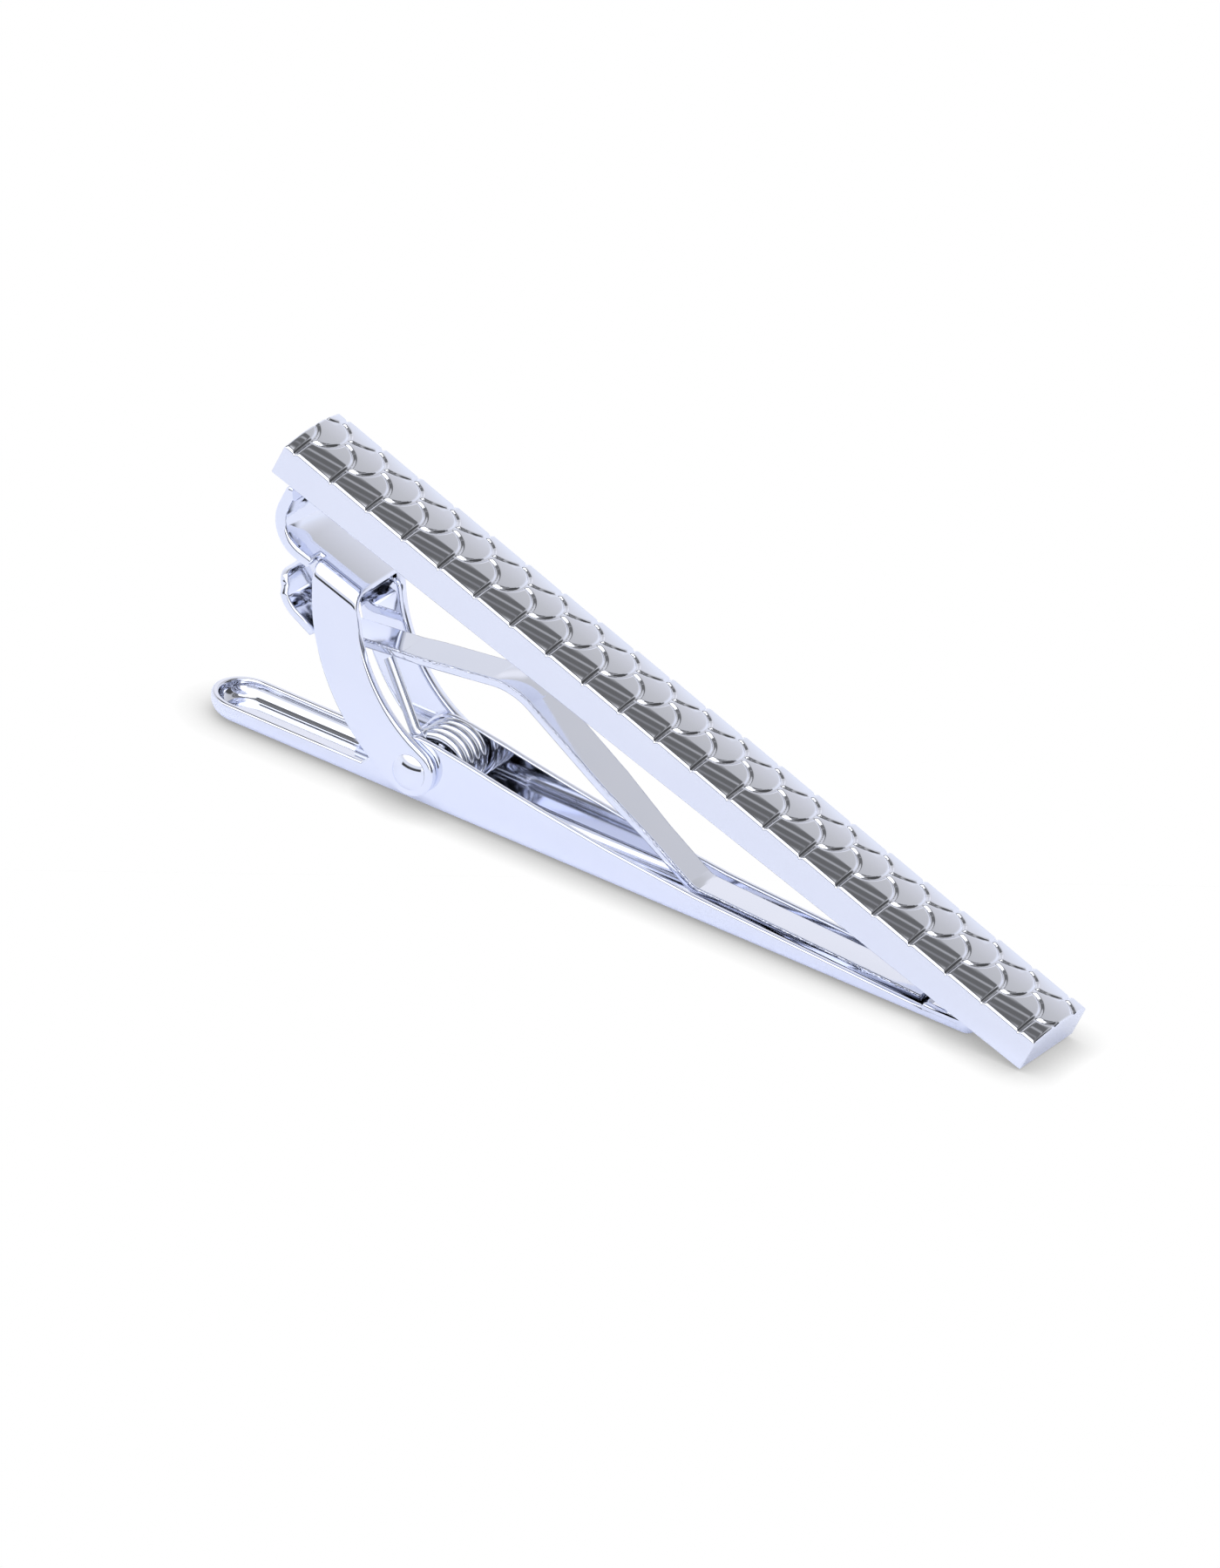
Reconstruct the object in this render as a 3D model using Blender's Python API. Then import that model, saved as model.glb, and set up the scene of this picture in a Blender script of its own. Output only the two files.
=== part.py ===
"""Tie clip with a sprung back jaw.

A crowned front bar carries a bent sheet bracket at one end. The bracket folds down into two
arms, and a headed pin through them carries a long channel-shaped jaw. A torsion spring on the
pin holds the jaw's toothed tip against the back of the bar. A humped strip hooks behind the
arms and slides in the jaw's channel, so it drops with the jaw and leaves room for the tie.

Metres, +Z up. The clip lies on the flat of its jaw, which runs along X. The pin is along Y.
Sizes named "bar" are in the bar's own plane: X from the hinge end, Z up from its back face.
Sizes named "jaw" run from the pin along the jaw, and up from the face that it rests on.
"""
import math

import bmesh
import bpy
from mathutils import Matrix, Vector

# Front bar
BAR_LENGTH = 0.060
BAR_WIDTH = 0.0062
BAR_SIDE = 0.0023
BAR_CROWN = 0.00040
BAR_EDGE = 0.00022
BAR_CROWN_STEPS = 12

# Bracket sheet
BRACKET_SHEET = 0.00078
BRACKET_WIDTH = 0.0060
BRACKET_INSET = 0.00126
FOOT_LENGTH = 0.0072
FOOT_WIDTH = 0.0034
FOOT_FOLD = 0.00010
FOOT_CORNER = 0.00040
ROOF_DROP = 0.00335
CURL_RADIUS = 0.0026
SOLDER_GAP = 0.00002

# Bracket arms
ROOF_MIDDLE = 0.00678
ARM_WIDTH = 0.0033
ARM_BULGE = 0.00184
ARM_FOLD = 0.00120
ARM_STEPS = 14

# Pin
PIN_ALONG_BAR = 0.01685
PIN_DROP = 0.01130
PIN_RADIUS = 0.00075
PIN_HEAD_RADIUS = 0.00115
PIN_HEAD_DOME = 0.00042
PIN_SIDES = 32
PIN_FIT = 0.00002
PIN_RUNNING_FIT = 0.00005

# Jaw
JAW_SHEET = 0.00045
JAW_WIDTH = 0.0045
JAW_SIDE_PLAY = 0.00005
JAW_TAIL = 0.01570
JAW_REACH = 0.04060
JAW_PIN_HEIGHT = 0.00254
JAW_EAR_RADIUS = 0.00205
JAW_EAR_LEAD = 0.0017
JAW_EAR_START_SHARE = 0.35
JAW_THUMB_WALL = 0.00145
JAW_TIP_RIM = 0.00100
JAW_TIP_HEIGHT = 0.00132
JAW_TIP_CORNER = 0.00098
JAW_BEND = 0.00055
JAW_INNER_BEND = 0.00040
JAW_TIP_GAP = 0.00006

# Height of the walls from the ear to the teeth: share of the reach, share of the fall
RIM_SHARES = ((0.030, 0.97), (0.085, 0.875), (0.15, 0.745), (0.22, 0.62), (0.345, 0.42),
              (0.50, 0.24), (0.73, 0.10), (0.88, 0.01))

# Teeth
TOOTH_COUNT = 2
TOOTH_PITCH = 0.0017
TOOTH_LAND = 0.0004
TOOTH_BACK = 0.00012
TOOTH_RELIEF = 0.00014

# Strip
STRIP_SHEET = 0.00058
STRIP_WIDTH = 0.0030
STRIP_NECK = 0.0027
STRIP_TAIL = 0.0024
STRIP_HOOK_WIDTH = 0.0055
STRIP_HOOK_LENGTH = 0.0022
STRIP_HOOK_RISE = 0.00040
STRIP_LIP_LENGTH = 0.00150
STRIP_LIP_RISE = 0.00145
STRIP_LIP_WIDTH = 0.0047
STRIP_HOOK_SHARE = 0.264
STRIP_HOOK_PLAY = 0.00012
STRIP_VERTEX_LEAD = 0.00065
STRIP_KINK_ALONG = 0.01245
STRIP_KINK_DROP = 0.00560
STRIP_HUMP_ALONG = 0.01970
STRIP_HUMP_DROP = 0.00222
STRIP_VALLEY_REACH = 0.01960
STRIP_VALLEY_HEIGHT = 0.00190
STRIP_END_REACH = 0.03610
STRIP_FLOOR_PLAY = 0.00008
STRIP_LIP_BEND = 0.0022
STRIP_HOOK_BEND = 0.0012
STRIP_KINK_BEND = 0.0010
STRIP_HUMP_BEND = 0.0046
STRIP_VALLEY_BEND = 0.0018
STRIP_EDGE = 0.00013

# Torsion spring
WIRE = 0.00042
COIL_RADIUS = 0.00222
COIL_ALONG = 0.00088
COIL_RISE = 0.00028
COIL_WALL_PLAY = 0.00004
COIL_FULL_TURNS = 3
COIL_POINTS_PER_TURN = 10
SPRING_LOWER_LEG = 0.0132
SPRING_UPPER_REACH = 0.0112
SPRING_UPPER_PLAY = 0.00012
SPRING_BEND_ANGLE = 137
SPRING_BEND = 0.00045

# One overrun serves every cut
OVERRUN = 0.0010

# Angles, in degrees
SMOOTH_ANGLE = 30
BEVEL_ANGLE = 35
SHEET_TURN_STEP = 12
STRIP_TURN_STEP = 5
WIRE_TURN_STEP = 26

# Looks
PLATE_COLOUR = (0.80, 0.81, 0.86, 1.0)
BRIGHT_COLOUR = (0.84, 0.85, 0.90, 1.0)
STEEL_COLOUR = (0.62, 0.62, 0.65, 1.0)


# Derived sizes
HALF_BRACKET = BRACKET_WIDTH / 2
HALF_JAW = JAW_WIDTH / 2
ARM_INNER = HALF_JAW + JAW_SIDE_PLAY
ARM_THICK = HALF_BRACKET - ARM_INNER
JAW_INNER = HALF_JAW - JAW_SHEET
EAR_TOP = JAW_PIN_HEIGHT + JAW_EAR_RADIUS
TIP_DEPTH = JAW_PIN_HEIGHT - JAW_TIP_HEIGHT
TIP_SPAN = math.hypot(JAW_REACH, TIP_DEPTH)
PITCH = math.asin((PIN_DROP - JAW_TIP_GAP) / TIP_SPAN) + math.atan2(TIP_DEPTH, JAW_REACH)
COS_PITCH = math.cos(PITCH)
SIN_PITCH = math.sin(PITCH)


def clear_scene():
    for item in list(bpy.data.objects):
        bpy.data.objects.remove(item, do_unlink=True)


def jaw_to_bar(along, up):
    """A point of the jaw, from the pin and the resting face, in the bar's plane."""
    rise = up - JAW_PIN_HEIGHT
    x = PIN_ALONG_BAR + along * COS_PITCH - rise * SIN_PITCH
    z = -PIN_DROP + along * SIN_PITCH + rise * COS_PITCH
    return Vector((x, z))


def plated(name, colour, roughness):
    material = bpy.data.materials.new(name)
    material.use_nodes = True
    shader = material.node_tree.nodes["Principled BSDF"]
    shader.inputs["Base Color"].default_value = colour
    shader.inputs["Metallic"].default_value = 1.0
    shader.inputs["Roughness"].default_value = roughness
    return material


def mesh_object(name, bm, parent, material=None):
    bmesh.ops.recalc_face_normals(bm, faces=bm.faces)
    mesh = bpy.data.meshes.new(name)
    bm.to_mesh(mesh)
    bm.free()
    mesh.shade_smooth()
    mesh.set_sharp_from_angle(angle=math.radians(SMOOTH_ANGLE))
    item = bpy.data.objects.new(name, mesh)
    bpy.context.scene.collection.objects.link(item)
    item.parent = parent
    if material:
        mesh.materials.append(material)
    return item


def loft(rings):
    """A closed solid through rings that hold the same number of points."""
    bm = bmesh.new()
    rows = [[bm.verts.new(point) for point in ring] for ring in rings]
    count = len(rows[0])
    for lower, upper in zip(rows, rows[1:]):
        for i in range(count):
            j = (i + 1) % count
            bm.faces.new((lower[i], lower[j], upper[j], upper[i]))
    bm.faces.new(rows[0])
    bm.faces.new(rows[-1])
    return bm


def across(outline, low, high):
    """An outline in X and Z, carried along Y."""
    return loft([[(x, side, z) for x, z in outline] for side in (low, high)])


def cutter(item):
    item.hide_render = True
    item.display_type = "WIRE"
    return item


def combine(item, other, operation):
    modifier = item.modifiers.new(other.name, "BOOLEAN")
    modifier.operation = operation
    modifier.solver = "EXACT"
    modifier.object = cutter(other)


def turned(start, radius, first, last, steps):
    """Points on an arc round a centre, angles in radians."""
    points = []
    for i in range(steps + 1):
        angle = first + (last - first) * i / steps
        points.append(start + radius * Vector((math.cos(angle), math.sin(angle))))
    return points


def rounded_path(corners, bends, turn_per_step):
    """Points along straight runs that are joined by arcs of the given radii."""
    points = [corners[0]]
    for before, corner, after, bend in zip(corners, corners[1:], corners[2:], bends):
        arrive = (corner - before).normalized()
        leave = (after - corner).normalized()
        turn = math.atan2(arrive.x * leave.y - arrive.y * leave.x, arrive.dot(leave))
        back = bend * math.tan(abs(turn) / 2)
        side = Vector((-arrive.y, arrive.x)) * math.copysign(bend, turn)
        centre = corner - arrive * back + side
        first = math.atan2(-side.y, -side.x)
        steps = max(2, round(abs(turn) / turn_per_step))
        points += turned(centre, bend, first, first + turn, steps)
    points.append(corners[-1])
    return points


def normals_of(points):
    """Unit normals, to the left of the direction of travel."""
    normals = []
    for i in range(len(points)):
        ahead = points[min(i + 1, len(points) - 1)]
        behind = points[max(i - 1, 0)]
        run = (ahead - behind).normalized()
        normals.append(Vector((-run.y, run.x)))
    return normals


def pin_cylinder(name, radius, half_length, parent):
    """A cylinder along Y, for the bores that the pin passes through."""
    bm = bmesh.new()
    turn = Matrix.Rotation(math.radians(90), 4, "X")
    bmesh.ops.create_cone(bm, cap_ends=True, segments=PIN_SIDES, radius1=radius, radius2=radius,
                          depth=2 * half_length, matrix=turn)
    return mesh_object(name, bm, parent)


def build_bar(parent, material):
    """The front bar: a flat back, upright sides and a top that is crowned across."""
    half = BAR_WIDTH / 2
    section = [(-half, 0), (half, 0)]
    for i in range(BAR_CROWN_STEPS + 1):
        share = 1 - 2 * i / BAR_CROWN_STEPS
        section.append((half * share, BAR_SIDE + BAR_CROWN * (1 - share * share)))
    bm = loft([[(x, y, z) for y, z in section] for x in (0, BAR_LENGTH)])
    bar = mesh_object("front_bar", bm, parent, material)
    edge = bar.modifiers.new("soft edges", "BEVEL")
    edge.width = BAR_EDGE
    edge.segments = 2
    edge.limit_method = "ANGLE"
    edge.angle_limit = math.radians(BEVEL_ANGLE)
    return bar


def arm_arc():
    """The middle line of an arm, from the roof to the pin."""
    top = Vector((ROOF_MIDDLE, -ROOF_DROP))
    pin = Vector((PIN_ALONG_BAR, -PIN_DROP))
    chord = pin - top
    half = chord.length / 2
    radius = (half * half + ARM_BULGE * ARM_BULGE) / (2 * ARM_BULGE)
    side = Vector((-chord.y, chord.x)).normalized()
    centre = (top + pin) / 2 + side * (radius - ARM_BULGE)
    first = math.atan2(top.y - centre.y, top.x - centre.x)
    last = math.atan2(pin.y - centre.y, pin.x - centre.x)
    return centre, radius, first, last


def arm_outline():
    """The side view of an arm: a curved band with a round end at the pin."""
    centre, radius, first, last = arm_arc()
    half = ARM_WIDTH / 2
    lead = OVERRUN / radius
    outer = turned(centre, radius + half, first - lead, last, ARM_STEPS)
    inner = turned(centre, radius - half, first - lead, last, ARM_STEPS)
    pin = Vector((PIN_ALONG_BAR, -PIN_DROP))
    end = turned(pin, half, last, last + math.pi, ARM_STEPS)
    return outer + end[1:-1] + inner[::-1]


def build_bracket(parent, pin_axis, material):
    """One sheet: a soldered foot, a curl, a roof and two arms folded down from the roof."""
    # The folded section that the arms and the roof are cut from
    depth = PIN_DROP + ARM_WIDTH
    fold_steps = 5
    inner_fold = ARM_FOLD - ARM_THICK
    shoulder = Vector((HALF_BRACKET - ARM_FOLD, -ROOF_DROP - ARM_FOLD))
    outside = turned(shoulder, ARM_FOLD, 0, math.pi / 2, fold_steps)
    roof_under = -ROOF_DROP - BRACKET_SHEET
    hollow = Vector((ARM_INNER - inner_fold, roof_under - inner_fold))
    inside = turned(hollow, inner_fold, 0, math.pi / 2, fold_steps)
    right = [Vector((HALF_BRACKET, -depth))] + outside
    left = [Vector((-point.x, point.y)) for point in reversed(right)]
    right_in = [Vector((ARM_INNER, -depth))] + inside
    left_in = [Vector((-point.x, point.y)) for point in reversed(right_in)]
    section = right + left + left_in[::-1] + right_in[::-1]
    reach = PIN_ALONG_BAR + ARM_WIDTH
    bm = loft([[(x, y, z) for y, z in section] for x in (BRACKET_INSET, reach)])
    bracket = mesh_object("bracket", bm, parent, material)

    # The side view of the arms
    view = across([(x, z) for x, z in arm_outline()], -BAR_WIDTH, BAR_WIDTH)
    combine(bracket, mesh_object("arm side view", view, parent), "INTERSECT")

    # Foot, curl and the first part of the roof: the outer face, then the inner face
    foot_end = BRACKET_INSET + FOOT_LENGTH
    arm_start = ROOF_MIDDLE - ARM_WIDTH / 2
    sheet = []
    for depth, bends in ((0, (FOOT_CORNER, CURL_RADIUS)),
                         (BRACKET_SHEET, (FOOT_FOLD, CURL_RADIUS - BRACKET_SHEET))):
        back = BRACKET_INSET + depth
        foot_level = -SOLDER_GAP - depth
        roof_level = roof_under + depth
        corners = [Vector((foot_end, foot_level)), Vector((back, foot_level)),
                   Vector((back, roof_level)), Vector((arm_start, roof_level))]
        face = rounded_path(corners, bends, math.radians(SHEET_TURN_STEP))
        sheet += face if depth == 0 else face[::-1]
    curl = across([(point.x, point.y) for point in sheet], -HALF_BRACKET, HALF_BRACKET)
    combine(bracket, mesh_object("foot and curl", curl, parent), "UNION")

    # The foot is a tab, narrower than the curl
    tab_start = BRACKET_INSET + BRACKET_SHEET + FOOT_FOLD
    beside = [(tab_start, -ROOF_DROP / 2), (foot_end + OVERRUN, -ROOF_DROP / 2),
              (foot_end + OVERRUN, OVERRUN), (tab_start, OVERRUN)]
    for inner, outer in ((FOOT_WIDTH / 2, BAR_WIDTH), (-BAR_WIDTH, -FOOT_WIDTH / 2)):
        side_cut = mesh_object("foot side", across(beside, inner, outer), parent)
        combine(bracket, side_cut, "DIFFERENCE")

    # Holes that the pin is riveted in
    hole = pin_cylinder("arm bore", PIN_RADIUS + PIN_FIT, BAR_WIDTH, pin_axis)
    combine(bracket, hole, "DIFFERENCE")
    return bracket


def jaw_ring(inset, height):
    """The plan of the jaw: a round thumb end and a tip with round corners."""
    half = HALF_JAW - inset
    tail = turned(Vector((HALF_JAW - JAW_TAIL, 0)), half, math.pi / 2, 3 * math.pi / 2, 14)
    corner = JAW_TIP_CORNER - inset
    middle = Vector((JAW_REACH - JAW_TIP_CORNER, HALF_JAW - JAW_TIP_CORNER))
    near = turned(Vector((middle.x, -middle.y)), corner, -math.pi / 2, 0, 5)
    far = turned(middle, corner, 0, math.pi / 2, 5)
    return [(x, y, height) for x, y in tail + near + far]


def jaw_side_view():
    """The side view of the jaw: low thumb walls, an ear at the pin, falling walls, teeth."""
    top = EAR_TOP - JAW_PIN_HEIGHT
    foot = JAW_THUMB_WALL - JAW_PIN_HEIGHT
    below = -JAW_PIN_HEIGHT - OVERRUN
    far_left = -JAW_TAIL - OVERRUN
    tip = JAW_REACH + OVERRUN
    fall = EAR_TOP - JAW_TIP_RIM

    # Thumb walls, then the lead up to the ear and over it
    outline = [Vector((far_left, below)), Vector((far_left, foot))]
    ear_start = math.pi - math.asin(JAW_EAR_START_SHARE)
    rise_from = -JAW_EAR_RADIUS - JAW_EAR_LEAD
    outline.append(Vector((rise_from, foot)))
    outline += turned(Vector((0, 0)), top, ear_start, math.pi / 2, 8)

    # Walls that fall towards the teeth
    for reach_share, fall_share in RIM_SHARES:
        rim = JAW_TIP_RIM + fall * fall_share - JAW_PIN_HEIGHT
        outline.append(Vector((JAW_REACH * reach_share, rim)))

    # Teeth that step up to the tip
    first = JAW_REACH - TOOTH_LAND - TOOTH_COUNT * TOOTH_PITCH
    step = (JAW_TIP_HEIGHT - JAW_TIP_RIM) / TOOTH_COUNT
    for i in range(TOOTH_COUNT):
        start = first + i * TOOTH_PITCH
        low = JAW_TIP_RIM + i * step - JAW_PIN_HEIGHT
        peak = low + step + TOOTH_RELIEF
        outline.append(Vector((start, low)))
        outline.append(Vector((start + TOOTH_BACK, peak)))
    outline.append(Vector((JAW_REACH, JAW_TIP_HEIGHT - JAW_PIN_HEIGHT)))
    outline.append(Vector((tip, JAW_TIP_HEIGHT - JAW_PIN_HEIGHT)))
    outline.append(Vector((tip, below)))
    return [(point.x, point.y) for point in outline]


def build_jaw(pin_axis, material):
    """The lever: a pressed channel with a closed thumb end, ears, and teeth at its tip."""
    # The pressed blank, with its bottom edge rolled round
    steps = 4
    base = -JAW_PIN_HEIGHT
    rings = []
    for i in range(steps + 1):
        angle = math.pi / 2 * i / steps
        inset = JAW_BEND * (1 - math.sin(angle))
        rings.append(jaw_ring(inset, base + JAW_BEND * (1 - math.cos(angle))))
    rings.append(jaw_ring(0, EAR_TOP - JAW_PIN_HEIGHT + OVERRUN))
    jaw = mesh_object("lower_jaw", loft(rings), pin_axis, material)

    # The hollow of the channel
    floor = base + JAW_SHEET
    hollow = []
    for i in range(steps):
        angle = math.pi / 2 * i / (steps - 1)
        inset = JAW_SHEET + JAW_INNER_BEND * (1 - math.sin(angle))
        hollow.append(jaw_ring(inset, floor + JAW_INNER_BEND * (1 - math.cos(angle))))
    hollow.append(jaw_ring(JAW_SHEET, EAR_TOP - JAW_PIN_HEIGHT + 2 * OVERRUN))
    combine(jaw, mesh_object("jaw hollow", loft(hollow), pin_axis), "DIFFERENCE")

    view = across(jaw_side_view(), -BAR_WIDTH, BAR_WIDTH)
    combine(jaw, mesh_object("jaw side view", view, pin_axis), "INTERSECT")
    bore = pin_cylinder("jaw bore", PIN_RADIUS + PIN_RUNNING_FIT, BAR_WIDTH, pin_axis)
    combine(jaw, bore, "DIFFERENCE")
    return jaw


def hook_seat():
    """Where the strip's hook bears on the back edge of the arms."""
    centre, radius, first, last = arm_arc()
    angle = first + (last - first) * STRIP_HOOK_SHARE
    out = Vector((math.cos(angle), math.sin(angle)))
    return centre + out * (radius + ARM_WIDTH / 2 + STRIP_HOOK_PLAY), out


def strip_route():
    """The middle line of the strip, from its hook to its end in the jaw."""
    half_sheet = STRIP_SHEET / 2
    seat, out = hook_seat()
    dip = STRIP_VERTEX_LEAD * STRIP_HOOK_RISE / STRIP_HOOK_LENGTH
    vertex = seat + Vector((STRIP_VERTEX_LEAD, -half_sheet - dip))
    hook = seat + Vector((-STRIP_HOOK_LENGTH, STRIP_HOOK_RISE - half_sheet))
    lip = hook + Vector((-STRIP_LIP_LENGTH, STRIP_LIP_RISE))
    kink = Vector((STRIP_KINK_ALONG, -STRIP_KINK_DROP - half_sheet))
    hump = Vector((STRIP_HUMP_ALONG, -STRIP_HUMP_DROP - half_sheet))
    valley = jaw_to_bar(STRIP_VALLEY_REACH, STRIP_VALLEY_HEIGHT - half_sheet)
    end = jaw_to_bar(STRIP_END_REACH, JAW_SHEET + STRIP_FLOOR_PLAY + half_sheet)
    corners = [lip, hook, vertex, kink, hump, valley, end]
    bends = (STRIP_LIP_BEND, STRIP_HOOK_BEND, STRIP_KINK_BEND, STRIP_HUMP_BEND,
             STRIP_VALLEY_BEND)
    return rounded_path(corners, bends, math.radians(STRIP_TURN_STEP))


def strip_widths(route):
    """Half widths along the strip: a wide hook, a neck between the arms, a body, a tail."""
    seat, out = hook_seat()
    shoulder = seat.x
    neck_end = STRIP_KINK_ALONG
    valley = jaw_to_bar(STRIP_VALLEY_REACH, STRIP_VALLEY_HEIGHT)
    taper = valley.x - STRIP_HUMP_ALONG
    tip = route[0].x
    table = [(tip, STRIP_LIP_WIDTH), (tip + STRIP_LIP_LENGTH / 4, STRIP_HOOK_WIDTH),
             (shoulder, STRIP_HOOK_WIDTH),
             (shoulder + STRIP_EDGE, STRIP_NECK), (neck_end, STRIP_NECK),
             (neck_end + STRIP_HOOK_BEND, STRIP_WIDTH),
             (valley.x - taper / 2, STRIP_WIDTH), (valley.x - taper / 4, STRIP_TAIL),
             (BAR_LENGTH, STRIP_TAIL)]
    points = [route[0]]
    for before, after in zip(route, route[1:]):
        inside = [x for x, width in table if before.x < x < after.x]
        for x in inside:
            points.append(before.lerp(after, (x - before.x) / (after.x - before.x)))
        points.append(after)
    halves = []
    for point in points:
        for (low, wide), (high, next_wide) in zip(table, table[1:]):
            if low <= point.x <= high:
                share = (point.x - low) / (high - low)
                halves.append((wide + (next_wide - wide) * share) / 2)
                break
    return points, halves


def build_strip(parent, material):
    """The humped strip: a flat band with eased edges, swept along its route."""
    points, halves = strip_widths(strip_route())
    half_sheet = STRIP_SHEET / 2
    flat = half_sheet - STRIP_EDGE
    rings = []
    for point, side, half in zip(points, normals_of(points), halves):
        ring = []
        for y, level in ((-half, -flat), (STRIP_EDGE - half, -half_sheet),
                         (half - STRIP_EDGE, -half_sheet), (half, -flat), (half, flat),
                         (half - STRIP_EDGE, half_sheet), (STRIP_EDGE - half, half_sheet),
                         (-half, flat)):
            place = point + side * level
            ring.append((place.x, y, place.y))
        rings.append(ring)
    return mesh_object("inner_strip", loft(rings), parent, material)


def build_pin(pin_axis, material):
    """The headed pin: one turned piece with a domed head on each arm."""
    face = HALF_BRACKET + PIN_FIT
    dome_steps = 4
    half = []
    for i in range(dome_steps + 1):
        angle = math.pi / 2 * i / dome_steps
        half.append((PIN_HEAD_RADIUS * math.sin(angle), face + PIN_HEAD_DOME * math.cos(angle)))
    half.append((PIN_RADIUS, face))
    profile = half + [(radius, -y) for radius, y in reversed(half)]
    bm = bmesh.new()
    verts = [bm.verts.new((radius, y, 0)) for radius, y in profile]
    edges = [bm.edges.new(pair) for pair in zip(verts, verts[1:])]
    bmesh.ops.spin(bm, geom=verts + edges, cent=(0, 0, 0), axis=(0, 1, 0),
                   angle=2 * math.pi, steps=PIN_SIDES, use_merge=True)
    bmesh.ops.remove_doubles(bm, verts=bm.verts, dist=PIN_FIT / 4)
    return mesh_object("pivot_pin", bm, pin_axis, material)


def spring_points():
    """The wire's middle line in the jaw's own directions, with the pin at the origin."""
    wire_half = WIRE / 2
    radius = COIL_RADIUS - wire_half
    centre = Vector((COIL_ALONG, COIL_RISE))

    # The upper leg ends just under the strip, where the strip leaves its hook
    route = strip_route()
    under = [point for point in route if point.x <= SPRING_UPPER_REACH][-1]
    above = [point for point in route if point.x > SPRING_UPPER_REACH][0]
    share = (SPRING_UPPER_REACH - under.x) / (above.x - under.x)
    run = (above - under).normalized()
    drop = STRIP_SHEET / 2 + wire_half + SPRING_UPPER_PLAY
    rest = under.lerp(above, share) + Vector((run.y, -run.x)) * drop
    offset = rest - Vector((PIN_ALONG_BAR, -PIN_DROP))
    leg_end = Vector((offset.x * COS_PITCH + offset.y * SIN_PITCH,
                      offset.y * COS_PITCH - offset.x * SIN_PITCH))

    # The leg meets the coil at a bend, on the side that faces the strip's hook
    start = math.radians(SPRING_BEND_ANGLE)
    sweep = start + math.pi / 2 + 2 * math.pi * COIL_FULL_TURNS
    count = round(sweep / (2 * math.pi) * COIL_POINTS_PER_TURN)
    half_span = JAW_INNER - COIL_WALL_PLAY - wire_half
    bend_at = centre + radius * Vector((math.cos(start), math.sin(start)))
    onward = bend_at + SPRING_BEND * Vector((math.sin(start), -math.cos(start)))
    leg = rounded_path([leg_end, bend_at, onward], [SPRING_BEND], math.radians(WIRE_TURN_STEP))

    points = [Vector((leg_end.x, WIRE - STRIP_NECK / 2, leg_end.y))]
    points += [Vector((spot.x, -half_span, spot.y)) for spot in leg[1:-1]]
    for i in range(1, count + 1):
        angle = start - sweep * i / count
        spot = centre + radius * Vector((math.cos(angle), math.sin(angle)))
        points.append(Vector((spot.x, half_span * (2 * i / count - 1), spot.y)))
    floor_level = centre.y - radius
    points.append(Vector((-SPRING_LOWER_LEG / 2, half_span, floor_level)))
    points.append(Vector((-SPRING_LOWER_LEG, half_span, floor_level)))
    return points


def least_gap(points):
    """The smallest clear distance from the wire to itself, measured on fine points."""
    fine = []
    for before, after in zip(points, points[1:]):
        fine += [before.lerp(after, i / 6) for i in range(6)]
    travelled = [0]
    for before, after in zip(fine, fine[1:]):
        travelled.append(travelled[-1] + (after - before).length)
    apart = COIL_RADIUS * math.pi / 2
    least = None
    for i in range(len(fine)):
        for j in range(i + 1, len(fine)):
            if travelled[j] - travelled[i] > apart:
                gap = (fine[i] - fine[j]).length - WIRE
                least = gap if least is None else min(least, gap)
    return least


def build_spring(pin_axis, material):
    """The torsion spring: one wire wound round the pin and two straight legs."""
    points = spring_points()
    curve = bpy.data.curves.new("torsion_spring", "CURVE")
    curve.dimensions = "3D"
    curve.bevel_depth = WIRE / 2
    curve.bevel_resolution = 1
    curve.use_fill_caps = True
    spline = curve.splines.new("POLY")
    spline.points.add(len(points) - 1)
    for slot, point in zip(spline.points, points):
        slot.co = (point.x, point.y, point.z, 1)
    curve.materials.append(material)
    spring = bpy.data.objects.new("torsion_spring", curve)
    bpy.context.scene.collection.objects.link(spring)
    spring.parent = pin_axis
    print("least gap of the spring wire to itself, mm:", round(least_gap(points) * 1000, 3))
    return spring


def coupling_ratio():
    """Turn of the strip for each unit turn of the jaw, with its end kept on the floor."""
    end = strip_route()[-1]
    floor_run = Vector((COS_PITCH, SIN_PITCH))
    seat, out = hook_seat()
    pin = Vector((PIN_ALONG_BAR, -PIN_DROP))
    return (end - pin).dot(floor_run) / (end - seat).dot(floor_run)


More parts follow.
